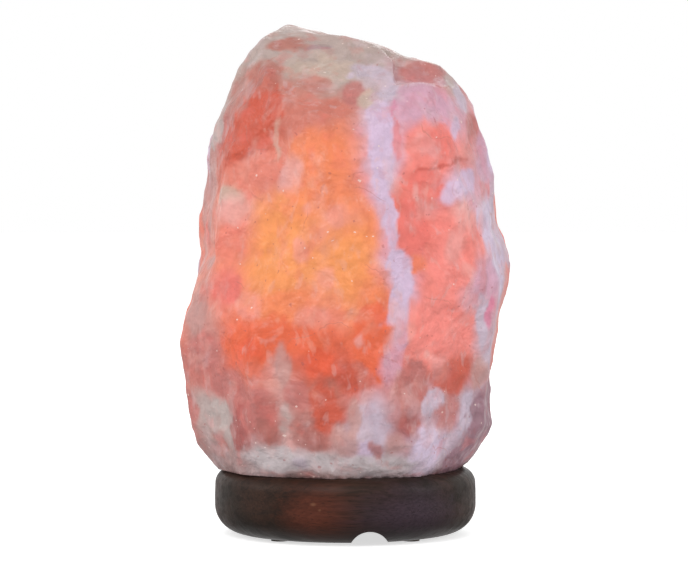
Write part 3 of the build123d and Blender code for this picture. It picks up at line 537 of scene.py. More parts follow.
# %% The zones seen from the front
FRONT_ZONES = (
    # the top: grey slopes with brown and lilac stains
    (GREY_MAUVE, -21, 224.5, 44, 19.5, 0, 0.3, 0.95),
    (BEIGE, -11, 213, 14, 5.5, 0, 0.5, 0.7),
    (GREY_MAUVE, -55, 208.5, 5, 10.5, 25, 0.4, 0.8),
    (BROWN_ROSE, -45, 206, 9, 8, 20, 0.7, 0.65),
    (SALMON_BROWN, -28, 203, 13, 7, 0, 0.7, 0.6),
    (BROWN_ROSE, -28, 224.5, 7.5, 3, 0, 0.5, 0.8),
    (BROWN_ROSE, -35.5, 212, 8, 6.5, 0, 0.5, 0.8),
    (BROWN_ROSE, -13.5, 206, 5.5, 4, 0, 0.5, 0.8),
    (MAUVE, -12.5, 223.5, 5.5, 1.2, 0, 0.4, 0.5),
    (SALMON_BROWN, -21, 192, 13.5, 6.5, 0, 0.5, 0.85),
    (SALMON_BROWN, -5, 196, 5, 6, 0, 0.5, 0.85),
    (ROSE, 4.5, 203, 3.5, 6.5, 0, 0.35, 0.8),
    (BEIGE, 10, 200.5, 2.5, 5.5, 0, 0.5, 0.8),
    (LILAC_MILK, 12.5, 212, 8, 4.5, 12, 0.45, 0.8),
    (LILAC_MILK, 2, 211, 2.2, 2.2, 0, 0.4, 0.8),
    # the face that broke away on the left
    (ROSE, -55, 186.5, 4, 11.5, 24, 0.4, 0.8),
    (ROSE, -38, 206.5, 6, 7, 0, 0.5, 0.8),
    (RED, -44, 185, 10, 18, 30, 0.12, 0.97),
    (RED, -37.5, 196, 7, 13, 6, 0.15, 0.97),
    (BROWN_ROSE, -38, 208, 7, 4, 0, 0.7, 0.7),
    # grey milk along the left rim: painted shade
    (GREY_MILK, -59.5, 184.5, 2.4, 11, 20, 0.4, 0.85),
    (SALMON_ROSE, -40, 166, 15, 6, -30, 0.15, 0.95),
    # the left side: salmon with pale clouds, and grey rose along its rim as painted shade
    (SALMON_ROSE, -45.5, 164.5, 10.5, 7, 0, 0.4, 0.85),
    (PALE_PINK, -26, 163.5, 4, 6.5, 10, 0.5, 0.6),
    (BEIGE, -31, 181, 1.4, 6, 8, 0.5, 0.6),
    (ORANGE, -9.5, 176, 11, 10, 0, 0.5, 0.75),
    (GREY_ROSE, -62, 161.5, 3.5, 10, 5, 0.4, 0.8),
    (BEIGE, -54.5, 155.5, 5.5, 4, 0, 0.5, 0.7),
    (PALE_PINK, -52, 148, 8, 6, -20, 0.7, 0.5),
    (SALMON, -52, 133, 9, 6.5, 0, 0.4, 0.85),
    (CORAL, -63, 138, 1.8, 5, 0, 0.4, 0.8),
    (GREY_ROSE, -61, 124.5, 4, 3.5, 0, 0.4, 0.8),
    (CORAL, -54, 112, 6.5, 5.5, 30, 0.35, 0.9),
    (PINK_SALMON, -43, 104.5, 6.5, 5, 0, 0.4, 0.8),
    (GREY_ROSE, -68.5, 102, 5, 10.5, 5, 0.4, 0.85),
    (ROSE, -65, 84, 8.5, 7.5, 0, 0.4, 0.85),
    # the glow, with pink clouds in it
    (ORANGE, -17, 157, 9, 17, 0, 0.5, 0.9),
    (PINK_SALMON, -15, 125, 7, 15, 0, 0.5, 0.7),
    (GLOW, -29, 128, 12, 20, 0, 0.95, 0.85),
    (GLOW, -4, 123, 13, 8, 0, 0.95, 0.8),
    (GLOW, -14, 128, 16, 14, 0, 0.95, 0.45),
    (CLOUD_PINK, -4, 146, 4.5, 3.5, 0, 0.6, 0.7),
    (CLOUD_PINK, -20, 130.5, 3, 4, 0, 0.6, 0.7),
    (CLOUD_PINK, -8.5, 116.5, 4, 4, 0, 0.6, 0.6),
    (CLOUD_PINK, -17.5, 148.5, 3, 3, 0, 0.6, 0.6),
    (PALE_PINK, -26, 164, 4, 7, 12, 0.6, 0.7),
    (ORANGE, -26.5, 105.5, 13, 6, 0, 0.5, 0.9),
    # below the glow: red salt that runs down into the milk
    (RED_ORANGE, -40, 88, 17, 8.5, -6, 0.3, 0.95),
    (BRIGHT_RED, -44.5, 84, 8.5, 4.5, 0, 0.5, 0.8),
    (PINK_SALMON, -15, 100, 6.5, 5.5, 0, 0.5, 0.7),
    (RED_ORANGE, -14, 87, 10, 7, 0, 0.5, 0.8),
    (BRIGHT_RED, -11.5, 77, 7.5, 5, 0, 0.4, 0.9),
    (ORANGE, 11.5, 107.5, 5.5, 6, 0, 0.5, 0.9),
    (RED_ORANGE, 12.5, 88.5, 8, 15, 8, 0.15, 0.95),
    (RED, 2, 71, 9, 6.5, -20, 0.2, 0.95),
    (PALE_PINK, 6, 89, 2.2, 2.7, 0, 0.5, 0.6),
    (ROSE, -54, 69, 10.5, 6.5, 0, 0.4, 0.8),
    (GREY_ROSE, -28.5, 75.5, 3, 8.5, 0, 0.4, 0.85),
    (ROSE, -40, 65, 4, 3.5, 0, 0.4, 0.8),
    (ROSE, -22.5, 64, 6, 6, 0, 0.25, 0.7),
    (BROWN, -35.5, 57, 5, 3, 0, 0.3, 0.6),
    (BROWN_ROSE, -9, 65, 7, 5, 0, 0.4, 0.85),
    # the milky foot and its dark streaks
    # grey milk at the left of the foot: painted shade
    (GREY_MILK, -59, 52.5, 6.5, 7.5, 8, 0.25, 0.9),
    (DARK_ROSE, -49, 49, 3.4, 10, 4, 0.2, 0.85),
    (ROSE, -41, 53, 7, 8, 0, 0.3, 0.85),
    (BROWN, -36, 46.5, 4.5, 5, 0, 0.35, 0.85),
    (GREY_MILK, -27, 52, 3.5, 7, 0, 0.3, 0.6),
    (BROWN, -57, 39.5, 4, 3.5, 0, 0.5, 0.7),
    (RED, -10.5, 56, 6.4, 12, 6, 0.3, 0.95),
    (BROWN, -12.5, 41.5, 5, 4.5, 0, 0.5, 0.85),
    (PALE_PINK, -23, 43, 3.5, 4, 0, 0.6, 0.5),
    (MILK, -26, 33.5, 13, 4.5, 0, 0.5, 0.85),
    (LILAC_MILK, -20.5, 32.5, 4, 3.5, 0, 0.5, 0.6),
    (MILK, 8, 31.5, 20, 3.5, 0, 0.5, 0.75),
    (LILAC_MILK, 12, 47, 6.5, 11, 0, 0.35, 0.85),
    (LILAC, 8.5, 39, 3, 4, 0, 0.5, 0.7),
    (ROSE, 13.5, 38, 1.8, 4, 0, 0.4, 0.7),
    (GREY_ROSE, 23, 39.5, 5.5, 4, 0, 0.5, 0.6),
    (BROWN, -18, 48, 4, 8, 0, 0.35, 0.8),
    (GREY_ROSE, 0, 42, 5, 6, 0, 0.5, 0.75),
    (GREY_ROSE, 3, 53, 3.5, 7, 6, 0.3, 0.8),
    (MILK, -40, 34.5, 8, 3, 0, 0.5, 0.75),
    # the right face: salmon and red salt between milky patches
    (PINK_LILAC, 37, 196.5, 16, 9, 0, 0.35, 0.95),
    # the facet under the top edge at the ledge: rose salt, darker with painted shade
    (ROSE, 32, 211.5, 10, 4.5, 0, 0.45, 0.75),
    (GREY_MILK, 48, 206.5, 4, 6, -30, 0.4, 0.8),
    (LILAC_MILK, 52, 200, 4, 6, -20, 0.4, 0.8),
    (PINKER_SALMON, 39, 178, 10, 10, 0, 0.4, 0.9),
    (CORAL, 43, 178, 7, 6.5, 0, 0.5, 0.8),
    (LILAC, 50.5, 186.5, 1.6, 5, 0, 0.4, 0.8),
    (ROSE, 58, 186.5, 3, 6, 0, 0.4, 0.8),
    (PINK_LILAC, 61.5, 178, 3, 3.5, 0, 0.4, 0.8),
    (PINK, 24, 183.5, 2.6, 11, -8, 0.25, 0.85),
    (MAGENTA, 22, 195.5, 1.1, 6, 0, 0.5, 0.5),
    (CORAL, 37, 162.5, 6, 6, 0, 0.3, 0.9),
    (DARK_RED, 46.5, 170.5, 12, 0.8, -10, 0.4, 0.7),
    (CORAL, 45, 155.5, 6, 4, 0, 0.4, 0.9),
    (LILAC, 55, 162, 6.5, 5, 0, 0.3, 0.9),
    (LILAC, 52, 159, 8.5, 4, -35, 0.35, 0.9),
    (PINK, 64, 157, 2.7, 5.5, 0, 0.4, 0.85),
    (PINKER_SALMON, 50.5, 130.5, 10, 16, 0, 0.35, 0.95),
    (PALE_PINK, 51, 133.5, 4.5, 7, 0, 0.6, 0.5),
    (PALE_PINK, 54, 147, 5, 7, 0, 0.7, 0.6),
    (CORAL, 30.5, 136.5, 7, 15, 0, 0.15, 0.95),
    (ORANGE, 32, 125, 4.5, 4, 0, 0.6, 0.6),
    (PALE_PINK, 33.5, 158, 1.3, 3.5, 0, 0.4, 0.7),
    # the right rim: milky salt, paler and bluer with painted light from the right
    (COOL_LIT_MILK, 65, 143, 3.6, 11, 0, 0.35, 0.9),
    (COOL_LIT_MILK, 70, 123, 4, 11, 0, 0.4, 0.9),
    (PINK_LILAC, 65.5, 115, 4.5, 9, 0, 0.5, 0.85),
    (PINKER_SALMON, 44.5, 94, 14, 14.5, 0, 0.35, 0.9),
    (RED, 49, 72, 10, 6, 0, 0.45, 0.8),
    (LILAC_MILK, 63.5, 96, 3, 14, 0, 0.3, 0.9),
    (MAGENTA, 67, 103.5, 1.3, 6.5, 0, 0.4, 0.7),
    (GREY_ROSE, 61.5, 74.5, 3.5, 6, 0, 0.4, 0.8),
    # the right of the foot: a rose wedge, white salt, and a flank in shade
    (ROSE, 30.5, 65.5, 6.2, 15, 0, 0.10, 0.97),
    (DARK_ROSE, 29.5, 52, 4, 6, 0, 0.5, 0.8),
    (LILAC_MILK, 40, 60.5, 4, 6, 12, 0.35, 0.9),
    (COOL_LIT_MILK, 39.5, 40.5, 8.5, 7.5, 15, 0.35, 0.9),
    (LILAC_MILK, 55, 55.5, 3.5, 9, 14, 0.3, 0.9),
    (ROSE, 47.5, 56, 3, 8, 10, 0.4, 0.8),
    (MAUVE, 62, 50.5, 6, 11.5, 22, 0.12, 0.95),
    (MAUVE, 53.5, 35.5, 10, 5, -35, 0.3, 0.9),
    # the lilac vein from the ridge down to the milky foot
    (LILAC_MILK, 19.5, 203, 3, 9, 0, 0.3, 0.95),
    (LILAC, 16, 187.5, 6.5, 11, 10, 0.3, 0.95),
    (LILAC, 16.5, 176, 5.4, 7.5, 0, 0.2, 0.95),
    (LILAC, 16, 167, 4, 8, -4, 0.2, 0.95),
    (LILAC, 16.5, 157.5, 2.2, 6, -12, 0.3, 0.9),
    (LILAC, 19.5, 147, 2, 8, -6, 0.3, 0.9),
    (LILAC, 21.5, 135, 2, 6.5, -4, 0.3, 0.9),
    (LILAC, 24.5, 123, 4.6, 8, -10, 0.2, 0.95),
    (LILAC, 27, 114, 5.2, 7, 0, 0.2, 0.95),
    (LILAC, 24, 105, 4, 8, 8, 0.3, 0.9),
    (PINK_LILAC, 23.5, 91.5, 2.7, 7.5, 0, 0.35, 0.9),
    (PINK_LILAC, 20.5, 78, 3.6, 8.5, 8, 0.6, 0.7),
)

# %% The zones of the sides and the back, which carry the same minerals round
RIGHT_ZONES = (
    (SALMON, 14, 120, 18, 30, 0, 0.45, 0.8),
    (LILAC_MILK, -9, 134, 13, 26, 0, 0.35, 0.85),
    (PINK_LILAC, -10, 168, 10, 12, 0, 0.4, 0.8),
    (CORAL, 24, 150, 9, 18, 8, 0.3, 0.9),
    (LILAC_MILK, -22, 92, 5, 20, 6, 0.35, 0.85),
    (LILAC, -4, 176, 4, 14, 14, 0.3, 0.9),
    (LILAC, 2, 150, 2.5, 16, -8, 0.3, 0.9),
    (LILAC_MILK, 6, 124, 5, 12, -6, 0.35, 0.85),
    (RED_ORANGE, 18, 88, 13, 12, 0, 0.4, 0.9),
    (BROWN_ROSE, 20, 190, 12, 7, 0, 0.45, 0.8),
    (MAUVE, -2, 50, 18, 13, 0, 0.3, 0.9),
    (GREY_MILK, 26, 46, 12, 9, 0, 0.4, 0.8),
    (DARK_ROSE, 14, 62, 4, 11, 6, 0.35, 0.85),
    (SALMON, -4, 108, 6, 9, 0, 0.4, 0.7),
    (ROSE, -8, 206, 9, 5, 0, 0.5, 0.7),
    (BEIGE, 12, 212, 9, 5, 0, 0.5, 0.6),
)
LEFT_ZONES = (
    (SALMON, -8, 130, 16, 26, 0, 0.45, 0.8),
    (GREY_ROSE, 4, 152, 9, 26, 0, 0.4, 0.7),
    (GREY_ROSE, 2, 104, 11, 16, 0, 0.4, 0.75),
    (PINK_LILAC, -18, 150, 8, 14, 15, 0.4, 0.8),
    (GREY_MAUVE, 0, 190, 18, 12, 0, 0.4, 0.8),
    (LILAC_MILK, -12, 108, 4.5, 20, -12, 0.35, 0.85),
    (CORAL, -30, 120, 10, 16, 0, 0.35, 0.85),
    (RED_ORANGE, 6, 96, 12, 11, 0, 0.4, 0.9),
    (ROSE, 4, 72, 14, 8, 0, 0.4, 0.85),
    (GREY_MILK, -14, 50, 14, 10, 0, 0.4, 0.8),
    (DARK_ROSE, -28, 58, 4, 11, 0, 0.35, 0.85),
    (BROWN_ROSE, 4, 206, 10, 6, 0, 0.5, 0.7),
    (LILAC, -4, 172, 3, 14, -10, 0.3, 0.85),
    (ROSE, 16, 52, 5, 10, 0, 0.3, 0.8),
)
BACK_ZONES = (
    (ORANGE, 20, 130, 18, 28, 0, 0.5, 0.8),
    (CORAL, -24, 132, 13, 20, 0, 0.4, 0.85),
    (SALMON, -38, 96, 12, 16, 0, 0.4, 0.85),
    (RED_ORANGE, 14, 88, 17, 11, 0, 0.4, 0.9),
    (PINK_LILAC, -20, 186, 16, 10, 0, 0.4, 0.85),
    (RED, 30, 182, 8, 13, -20, 0.2, 0.9),
    (LILAC, 10, 176, 4, 15, 12, 0.3, 0.9),
    (LILAC, 5, 150, 2.8, 15, 8, 0.3, 0.9),
    (LILAC_MILK, -2, 120, 5, 16, 10, 0.35, 0.9),
    (LILAC, -8, 94, 3, 13, 8, 0.3, 0.85),
    (GREY_MILK, 22, 50, 15, 10, 0, 0.4, 0.8),
    (ROSE, -4, 56, 7, 13, 6, 0.35, 0.85),
    (DARK_RED, -22, 64, 4.5, 9, 0, 0.35, 0.85),
    (MILK, -34, 44, 12, 8, 0, 0.4, 0.8),
    (BROWN_ROSE, -8, 206, 14, 5, 10, 0.5, 0.7),
    (ROSE, 22, 214, 8, 5, 0, 0.5, 0.7),
    (PALE_PINK, -26, 199, 8, 5, 0, 0.5, 0.6),
    (LILAC_MILK, 2, 40, 8, 7, 0, 0.4, 0.7),
    (ROSE, 38, 56, 5, 10, 0, 0.3, 0.8),
    (DARK_ROSE, 14, 54, 3.5, 10, 4, 0.3, 0.8),
)


# %% First a soft average of the zones near each point, so that no plain ground is left between them
ALL_ZONES = [(compass, *row) for compass, rows in (
    (RIGHT, RIGHT_ZONES), (LEFT, LEFT_ZONES), (BACK, BACK_ZONES), (FRONT, FRONT_ZONES)) for row in rows]
# A zone goes into the salt a little further than it is wide or high, because the skin isn't flat
ZONE_DEPTH = 1.3
PULL_REACH = 2.5
PULL_SPREAD = 1.45
PULL_FALL = 2.2
GROUND_WEIGHT = 0.08
WIDE_ZONE = 60.0


def egg(wide, high):
    """The half sizes of a zone in mm: across, into the salt, and up."""
    return np.array((wide, max(wide, high) * ZONE_DEPTH, high))


pulled = GROUND_WEIGHT * painted
weights = np.full(len(points), GROUND_WEIGHT)
for compass, colour, across, up, wide, high, lean, edge, share in ALL_ZONES:
    reach = PULL_SPREAD * egg(wide, high) + PULL_REACH
    away = from_middle(loose, on_surface(across, up, compass), lean, compass, reach)
    size_share = min(1.0, wide * high / WIDE_ZONE)
    weight = share * size_share * np.exp(-PULL_FALL * (away * away).sum(axis=1))
    pulled += weight[:, None] * np.array(colour[:3])
    weights += weight
painted = pulled / weights[:, None]

# %% Then the zones themselves, the first at the bottom
ZONE_SPREAD = 1.12
EDGE_SHARE = 0.72

for compass, colour, across, up, wide, high, lean, edge, share in ALL_ZONES:
    half_sizes = ZONE_SPREAD * egg(wide, high)
    mask = zone(tight, on_surface(across, up, compass), half_sizes, lean, EDGE_SHARE * edge, share, compass)
    painted = cover(painted, mask, colour)

# %% Keep what is painted as attributes of the skin
minerals = crystal.data.color_attributes.new("minerals", "FLOAT_COLOR", "POINT")
minerals.data.foreach_set("color", np.column_stack((painted, np.ones(len(points)))).ravel())
glow_share = crystal.data.attributes.new("glow_share", "FLOAT", "POINT")
glow_share.data.foreach_set("value", lit_points)
print("zones painted:", len(ALL_ZONES))

# %% [markdown]
# Between the zones the salt is never even. Clouds of milky salt lie just under the surface, warm where
# the light comes through and lilac where it doesn't, with redder clouds between them. A few thin cracks
# run through it, small dark specks are caught in it, and patches are a little lighter or darker. Ridges
# get a painted highlight, paler towards the milky colour, and a few grains get painted glints.

# %% Clouds, cracks, specks and patches all over, then painted highlights on ridges and painted glints
CLOUD_SHARE = 0.30
RED_CLOUD_SHARE = 0.24
CRACK_SHARE = 0.40
STREAK_SHARE = 0.26
SHADE_SHARE = 0.16
SPECK_SHARE = 0.45
RIDGE_HIGHLIGHT_SHARE = 0.28
GLINT_SHARE = 0.60
GLINT = seen(250, 226, 216)
WARM_MILK = seen(244, 172, 150)
COOL_MILK = seen(214, 192, 198)

salt = Finish("rock_salt", Specular_IOR_Level=0.4)
lit = salt.node("ShaderNodeAttribute", attribute_name="glow_share").outputs["Fac"]
colour = salt.node("ShaderNodeAttribute", attribute_name="minerals").outputs["Color"]


def drifting(finish, size, reach, detail):
    """Object coordinates in mm, pushed about by noise."""
    push = finish.noise(size, detail=detail, colour=True)
    centred = finish.node("ShaderNodeVectorMath", {0: push, 1: (0.5, 0.5, 0.5)}, operation="SUBTRACT")
    scaled = finish.node("ShaderNodeVectorMath", {0: centred.outputs[0], "Scale": reach}, operation="SCALE")
    moved = finish.node("ShaderNodeVectorMath", {0: finish.mm, 1: scaled.outputs[0]}, operation="ADD")
    return moved.outputs[0]


def mottle(below, above, share, size, low, high, **pattern):
    """Lay a colour over the salt in blotches about size mm across, where the noise passes low to high."""
    blotch = salt.ramp(salt.noise(size, **pattern), low, high)
    return salt.blend(salt.math("MULTIPLY", blotch, share), below, above)


drift = drifting(salt, 30.0, 14.0, 1.0)
milk = salt.blend(lit, COOL_MILK, WARM_MILK)
colour = mottle(
    colour, milk, CLOUD_SHARE, 13.0, 0.52, 0.70, where=drift, detail=3.0, stretch=(1.0, 1.0, 1.4))
colour = mottle(colour, CORAL, RED_CLOUD_SHARE, 11.0, 0.54, 0.70, where=drift, detail=3.0)
crack_field = salt.noise(42.0, drifting(salt, 5.0, 3.0, 2.0), detail=2.0)
crack = salt.ramp(salt.math("ABSOLUTE", salt.math("SUBTRACT", crack_field, 0.5)), 0.0012, 0.006, 1.0, 0.0)
broken = salt.ramp(salt.noise(22.0, detail=2.0), 0.54, 0.60, 0.0, CRACK_SHARE)
colour = salt.blend(salt.math("MULTIPLY", crack, broken), colour, BROWN_ROSE)
colour = mottle(
    colour, milk, STREAK_SHARE, 5.0, 0.58, 0.70, where=drift, detail=2.5, stretch=(1.0, 1.0, 1.9))
colour = mottle(
    colour, DARK_RED, SHADE_SHARE, 7.0, 0.54, 0.70, where=drift, detail=3.0, stretch=(1.0, 1.0, 1.5))
colour = mottle(colour, DARK_ROSE, SPECK_SHARE, 2.6, 0.72, 0.78, detail=1.0)
# Painted highlight: where the skin is pointed, at ridges, the colour turns paler towards the milky colour
ridge = salt.ramp(salt.node("ShaderNodeNewGeometry").outputs["Pointiness"], 0.515, 0.56)
colour = salt.blend(salt.math("MULTIPLY", ridge, RIDGE_HIGHLIGHT_SHARE), colour, milk)
# Painted glints: a few tiny specks turned almost white
glint = salt.ramp(salt.noise(1.9, detail=0.0), 0.845, 0.865, 0.0, GLINT_SHARE)
colour = salt.blend(glint, colour, GLINT)
patches = salt.ramp(salt.noise(5.0, detail=2.0), 0.3, 0.7, 0.93, 1.06)
colour = salt.node("ShaderNodeVectorMath", {0: colour, "Scale": patches}, operation="SCALE").outputs[0]

# %% Shader: the more a place glows, the less of its colour is left to the room's light
LEAST_OWN_LIGHT = 0.06
MOST_OWN_LIGHT = 0.42
KNOCK_SIZE = 10.0
KNOCK_DEPTH = 4.2
GRIT_SIZE = 3.0
GRIT_DEPTH = 0.5

own_light = salt.ramp(lit, 0, 1, LEAST_OWN_LIGHT, MOST_OWN_LIGHT)
reflected = salt.math("SUBTRACT", 1.0, own_light)
base_colour = salt.node("ShaderNodeVectorMath", {0: colour, "Scale": reflected}, operation="SCALE").outputs[0]
salt.link("Base Color", base_colour)
salt.link("Emission Color", colour)
salt.link("Emission Strength", own_light)
knocks = salt.bump(salt.noise(KNOCK_SIZE, drift, detail=3.0), KNOCK_DEPTH, 0.9)
grit = salt.bump(salt.noise(GRIT_SIZE, detail=2.0), GRIT_DEPTH, 0.45, knocks)
salt.link("Normal", grit)
salt.link("Roughness", salt.ramp(salt.noise(9.0, detail=3.0), 0.35, 0.65, 0.34, 0.60))
crystal.data.materials.append(salt.material)

# %% [markdown]
# ## The turned wooden base
#
# The base is turned from one board, so its grain runs straight across it, from left to right, while the
# marks of the turning tool run round it. A dark stain hides most of the figure. It sinks deeper in some
# places than in others, which leaves reddish-brown and purplish patches, and the rounds are a little worn.
# At the sides the purplish patches are also painted sheen, and the lowest band all round is darker with
# painted shade.

# %% Stained wood
STAIN = seen(38, 29, 22)
# The deepest stain, also used as painted shade along the bottom of the base
DEEP_STAIN_AND_SHADE = seen(28, 23, 20)
STAIN_WARM = seen(57, 39, 31)
# Purplish: partly stain, partly painted sheen where the sides catch the light
PURPLE_STAIN_AND_SHEEN = seen(62, 49, 58)
STAIN_RED = seen(88, 46, 34)
KNOT = seen(128, 88, 66)
ALONG_GRAIN = (11.0, 1.0, 1.0)

wood = Finish("stained_wood", Specular_IOR_Level=0.12)
blotch = wood.noise(26.0, detail=2.0)
figure = wood.noise(3.4, detail=4.0, rough=0.6, stretch=ALONG_GRAIN, distort=0.5)
fibre = wood.noise(0.9, detail=3.0, stretch=ALONG_GRAIN)
pore = wood.ramp(wood.noise(0.55, detail=1.0, stretch=(16.0, 1.0, 1.0)), 0.60, 0.70)
stain_sheen_and_shade = wood.blend(wood.ramp(blotch, 0.40, 0.62), STAIN, STAIN_WARM)
stain_sheen_and_shade = wood.blend(wood.math("MULTIPLY", wood.ramp(figure, 0.42, 0.66), 0.55), stain_sheen_and_shade, DEEP_STAIN_AND_SHADE)


def patch(centre, radii, share):
    """A soft patch of colour round a place in mm, broken up by the figure of the wood."""
    mapping = {"Vector": wood.mm, "Location": centre, "Scale": radii}
    inside = wood.node("ShaderNodeMapping", mapping, vector_type="TEXTURE").outputs[0]
    length = wood.node("ShaderNodeVectorMath", {0: inside}, operation="LENGTH").outputs["Value"]
    return wood.ramp(wood.math("ADD", length, wood.math("SUBTRACT", figure, 0.5)), 0.15, 1.25, share, 0.0)


PATCHES = (
    # colour, middle, half sizes, share
    (STAIN_RED, (-14, -58, 13), (21, 14, 19), 0.95),
    (STAIN_RED, (50, 26, 14), (10, 12, 9), 0.6),
    (STAIN_RED, (-30, 48, 20), (14, 12, 8), 0.6),
    # Purple on the right front and the left side: partly stain, partly painted sheen
    (PURPLE_STAIN_AND_SHEEN, (30, -50, 13), (34, 26, 17), 0.9),
    (PURPLE_STAIN_AND_SHEEN, (-50, 20, 16), (12, 26, 12), 0.7),
    # Painted shade: the lowest band all round, near the floor, is darker
    (DEEP_STAIN_AND_SHADE, (0, 0, 2), (110, 110, 11), 0.9),
    (KNOT, (-14.5, -59, 19.5), (1.5, 4, 0.9), 0.6),
    (KNOT, (-11.5, -59, 17), (0.8, 3, 0.6), 0.45),
)
for patch_colour, centre, radii, share in PATCHES:
    stain_sheen_and_shade = wood.blend(patch(centre, radii, share), stain_sheen_and_shade, patch_colour)
stain_sheen_and_shade = wood.blend(wood.math("MULTIPLY", pore, 0.45), stain_sheen_and_shade, DEEP_STAIN_AND_SHADE)
lighter = wood.ramp(fibre, 0.3, 0.7, 0.86, 1.14)
stain_sheen_and_shade = wood.node("ShaderNodeVectorMath", {0: stain_sheen_and_shade, "Scale": lighter}, operation="SCALE").outputs[0]
wood.link("Base Color", stain_sheen_and_shade)

# %% Turning marks: fine rings that follow the distance from the axis
flat = wood.node("ShaderNodeVectorMath", {0: wood.mm, 1: (1.0, 1.0, 0.0)}, operation="MULTIPLY").outputs[0]
from_axis = wood.node("ShaderNodeVectorMath", {0: flat}, operation="LENGTH").outputs["Value"]
level = wood.node("ShaderNodeSeparateXYZ", {0: wood.mm}).outputs["Z"]
around = wood.node("ShaderNodeCombineXYZ", {"X": from_axis, "Z": level}).outputs[0]
marks = wood.bump(wood.noise(1.3, around, detail=1.0), 0.12, 0.5)
grain = wood.bump(fibre, 0.10, 0.6, wood.bump(figure, 0.25, 0.5, marks))
wood.link("Normal", grain)
wood.link("Roughness", wood.ramp(figure, 0.3, 0.7, 0.34, 0.52))

# %% [markdown]
# ## Metals, mouldings, rubber and glass
#
# The lampholder and the bulb are small, so each finish needs its detail at a small scale: zinc plate has
# faint brushing, brass goes dull in patches, a moulding has a fine matt skin. One function makes a metal
# and one makes a moulding, and each finish then differs in its own few numbers.

# %% Metals
def metal(name, bright, dull, rough, patch_size=6.0, brush=None, depth=0.02):
    """Plated or bare metal: patches between a bright and a dull colour, and fine scratches."""
    made = Finish(name, Metallic=1.0)
    patches = made.ramp(made.noise(patch_size, detail=3.0), 0.35, 0.70)
    scratches = made.noise(0.35, detail=2.0, stretch=brush or (1.0, 1.0, 1.0))
    made.link("Base Color", made.blend(patches, bright, dull))
    low, high = rough
    made.link("Roughness", made.ramp(made.math("ADD", patches, scratches), 0.3, 1.4, low, high))
    made.link("Normal", made.bump(scratches, depth, 0.5))
    return made


zinc = metal(
    "zinc_plated_steel", seen(198, 200, 198), seen(158, 162, 164), (0.26, 0.48), brush=(6.0, 1.0, 1.0))
spring = metal("spring_steel", seen(176, 178, 184), seen(132, 136, 146), (0.20, 0.40), brush=(1.0, 1.0, 8.0))
brass = metal("brass", seen(214, 178, 104), seen(162, 124, 66), (0.22, 0.46), patch_size=4.0)
nickel = metal("nickelled_cap", seen(212, 208, 196), seen(168, 164, 154), (0.18, 0.40), patch_size=3.0)
solder = metal("solder", seen(186, 184, 180), seen(136, 134, 130), (0.34, 0.60), patch_size=1.2, depth=0.06)
wire = metal(
    "nickel_wire", seen(188, 184, 176), seen(140, 136, 130), (0.25, 0.45), patch_size=1.5, depth=0.01)


# %% Mouldings, rubber and ceramic
def moulding(name, colour, shade, rough, grain_size=0.6, depth=0.05, **shader):
    """A moulded or fired surface: slight clouds in its colour and a fine skin."""
    made = Finish(name, **shader)
    clouds = made.ramp(made.noise(9.0, detail=3.0), 0.35, 0.70)
    skin = made.noise(grain_size, detail=2.0)
    low, high = rough
    made.link("Base Color", made.blend(clouds, colour, shade))
    made.link("Roughness", made.ramp(skin, 0.3, 0.7, low, high))
    made.link("Normal", made.bump(skin, depth, 0.5))
    return made


black_moulding = moulding("black_moulding", seen(34, 33, 33), seen(46, 44, 43), (0.30, 0.46))
nylon = moulding("nylon_plug", seen(176, 172, 162), seen(158, 152, 140), (0.38, 0.52))
rubber = moulding("bush_rubber", seen(38, 38, 40), seen(54, 53, 54), (0.62, 0.80), depth=0.08)
ceramic = moulding(
    "white_ceramic", seen(228, 224, 214), seen(212, 206, 194), (0.30, 0.50), depth=0.04, Coat_Weight=0.3)
felt = moulding(
    "felt", seen(58, 50, 44), seen(82, 72, 64), (0.92, 1.0), grain_size=0.45, depth=0.5, Sheen_Weight=0.35)

# %% Glass and the glowing wire
clear_glass = Finish("clear_glass", Base_Color=WHITE, Transmission_Weight=1.0, IOR=1.5)
dust = clear_glass.ramp(clear_glass.noise(5.0, detail=4.0), 0.45, 0.75, 0.0, 0.06)
clear_glass.link("Roughness", dust)
black_glass = moulding("black_glass", seen(20, 20, 24), seen(30, 29, 32), (0.08, 0.20), depth=0.03)
tungsten = Finish(
    "tungsten", Base_Color=seen(90, 84, 80), Metallic=1.0, Roughness=0.5, Emission_Color=seen(255, 186, 104))
heat = tungsten.ramp(tungsten.noise(1.0, detail=1.0), 0.3, 0.7, 7.0, 10.0)
tungsten.link("Emission Strength", heat)

# %% Give each construction node the finish of its slot
FINISHES = {
    "salt": salt, "stained_wood": wood, "zinc_steel": zinc, "nylon": nylon, "felt": felt,
    "black_moulding": black_moulding, "white_ceramic": ceramic, "brass": brass, "spring_steel": spring,
    "bush_rubber": rubber, "clear_glass": clear_glass, "black_glass": black_glass, "solder": solder,
    "nickel": nickel, "wire": wire, "tungsten": tungsten,
}
for part in frame["record"]["subparts"]:
    dress(part["node"], FINISHES[part["material_slot"]])

# %% [markdown]
# ## The screw thread of the bulb's cap
#
# The cap is thin metal with a rounded thread rolled into it. A screw tool could spin such a thread, but its
# ends are hard to close. A plain tube with many rings is simpler: each point is moved in or out by a wave
# that climbs with the angle, and the wave fades away at both ends, where the real cap is plain too.

# %% A tube with many rings
THREAD_PITCH = 2.82 * MM
THREAD_DEPTH = 0.55 * MM
THREAD_RINGS = 62
THREAD_SIDES = 64
PLAIN_RIM = 5.4 * MM
PLAIN_FOOT = 1.4 * MM
THREAD_FADE = 0.8 * MM
CAP_SHEET = 0.28 * MM
CAP_SLOPE = 1.2 * MM
FOOT_TURN_IN = 0.64

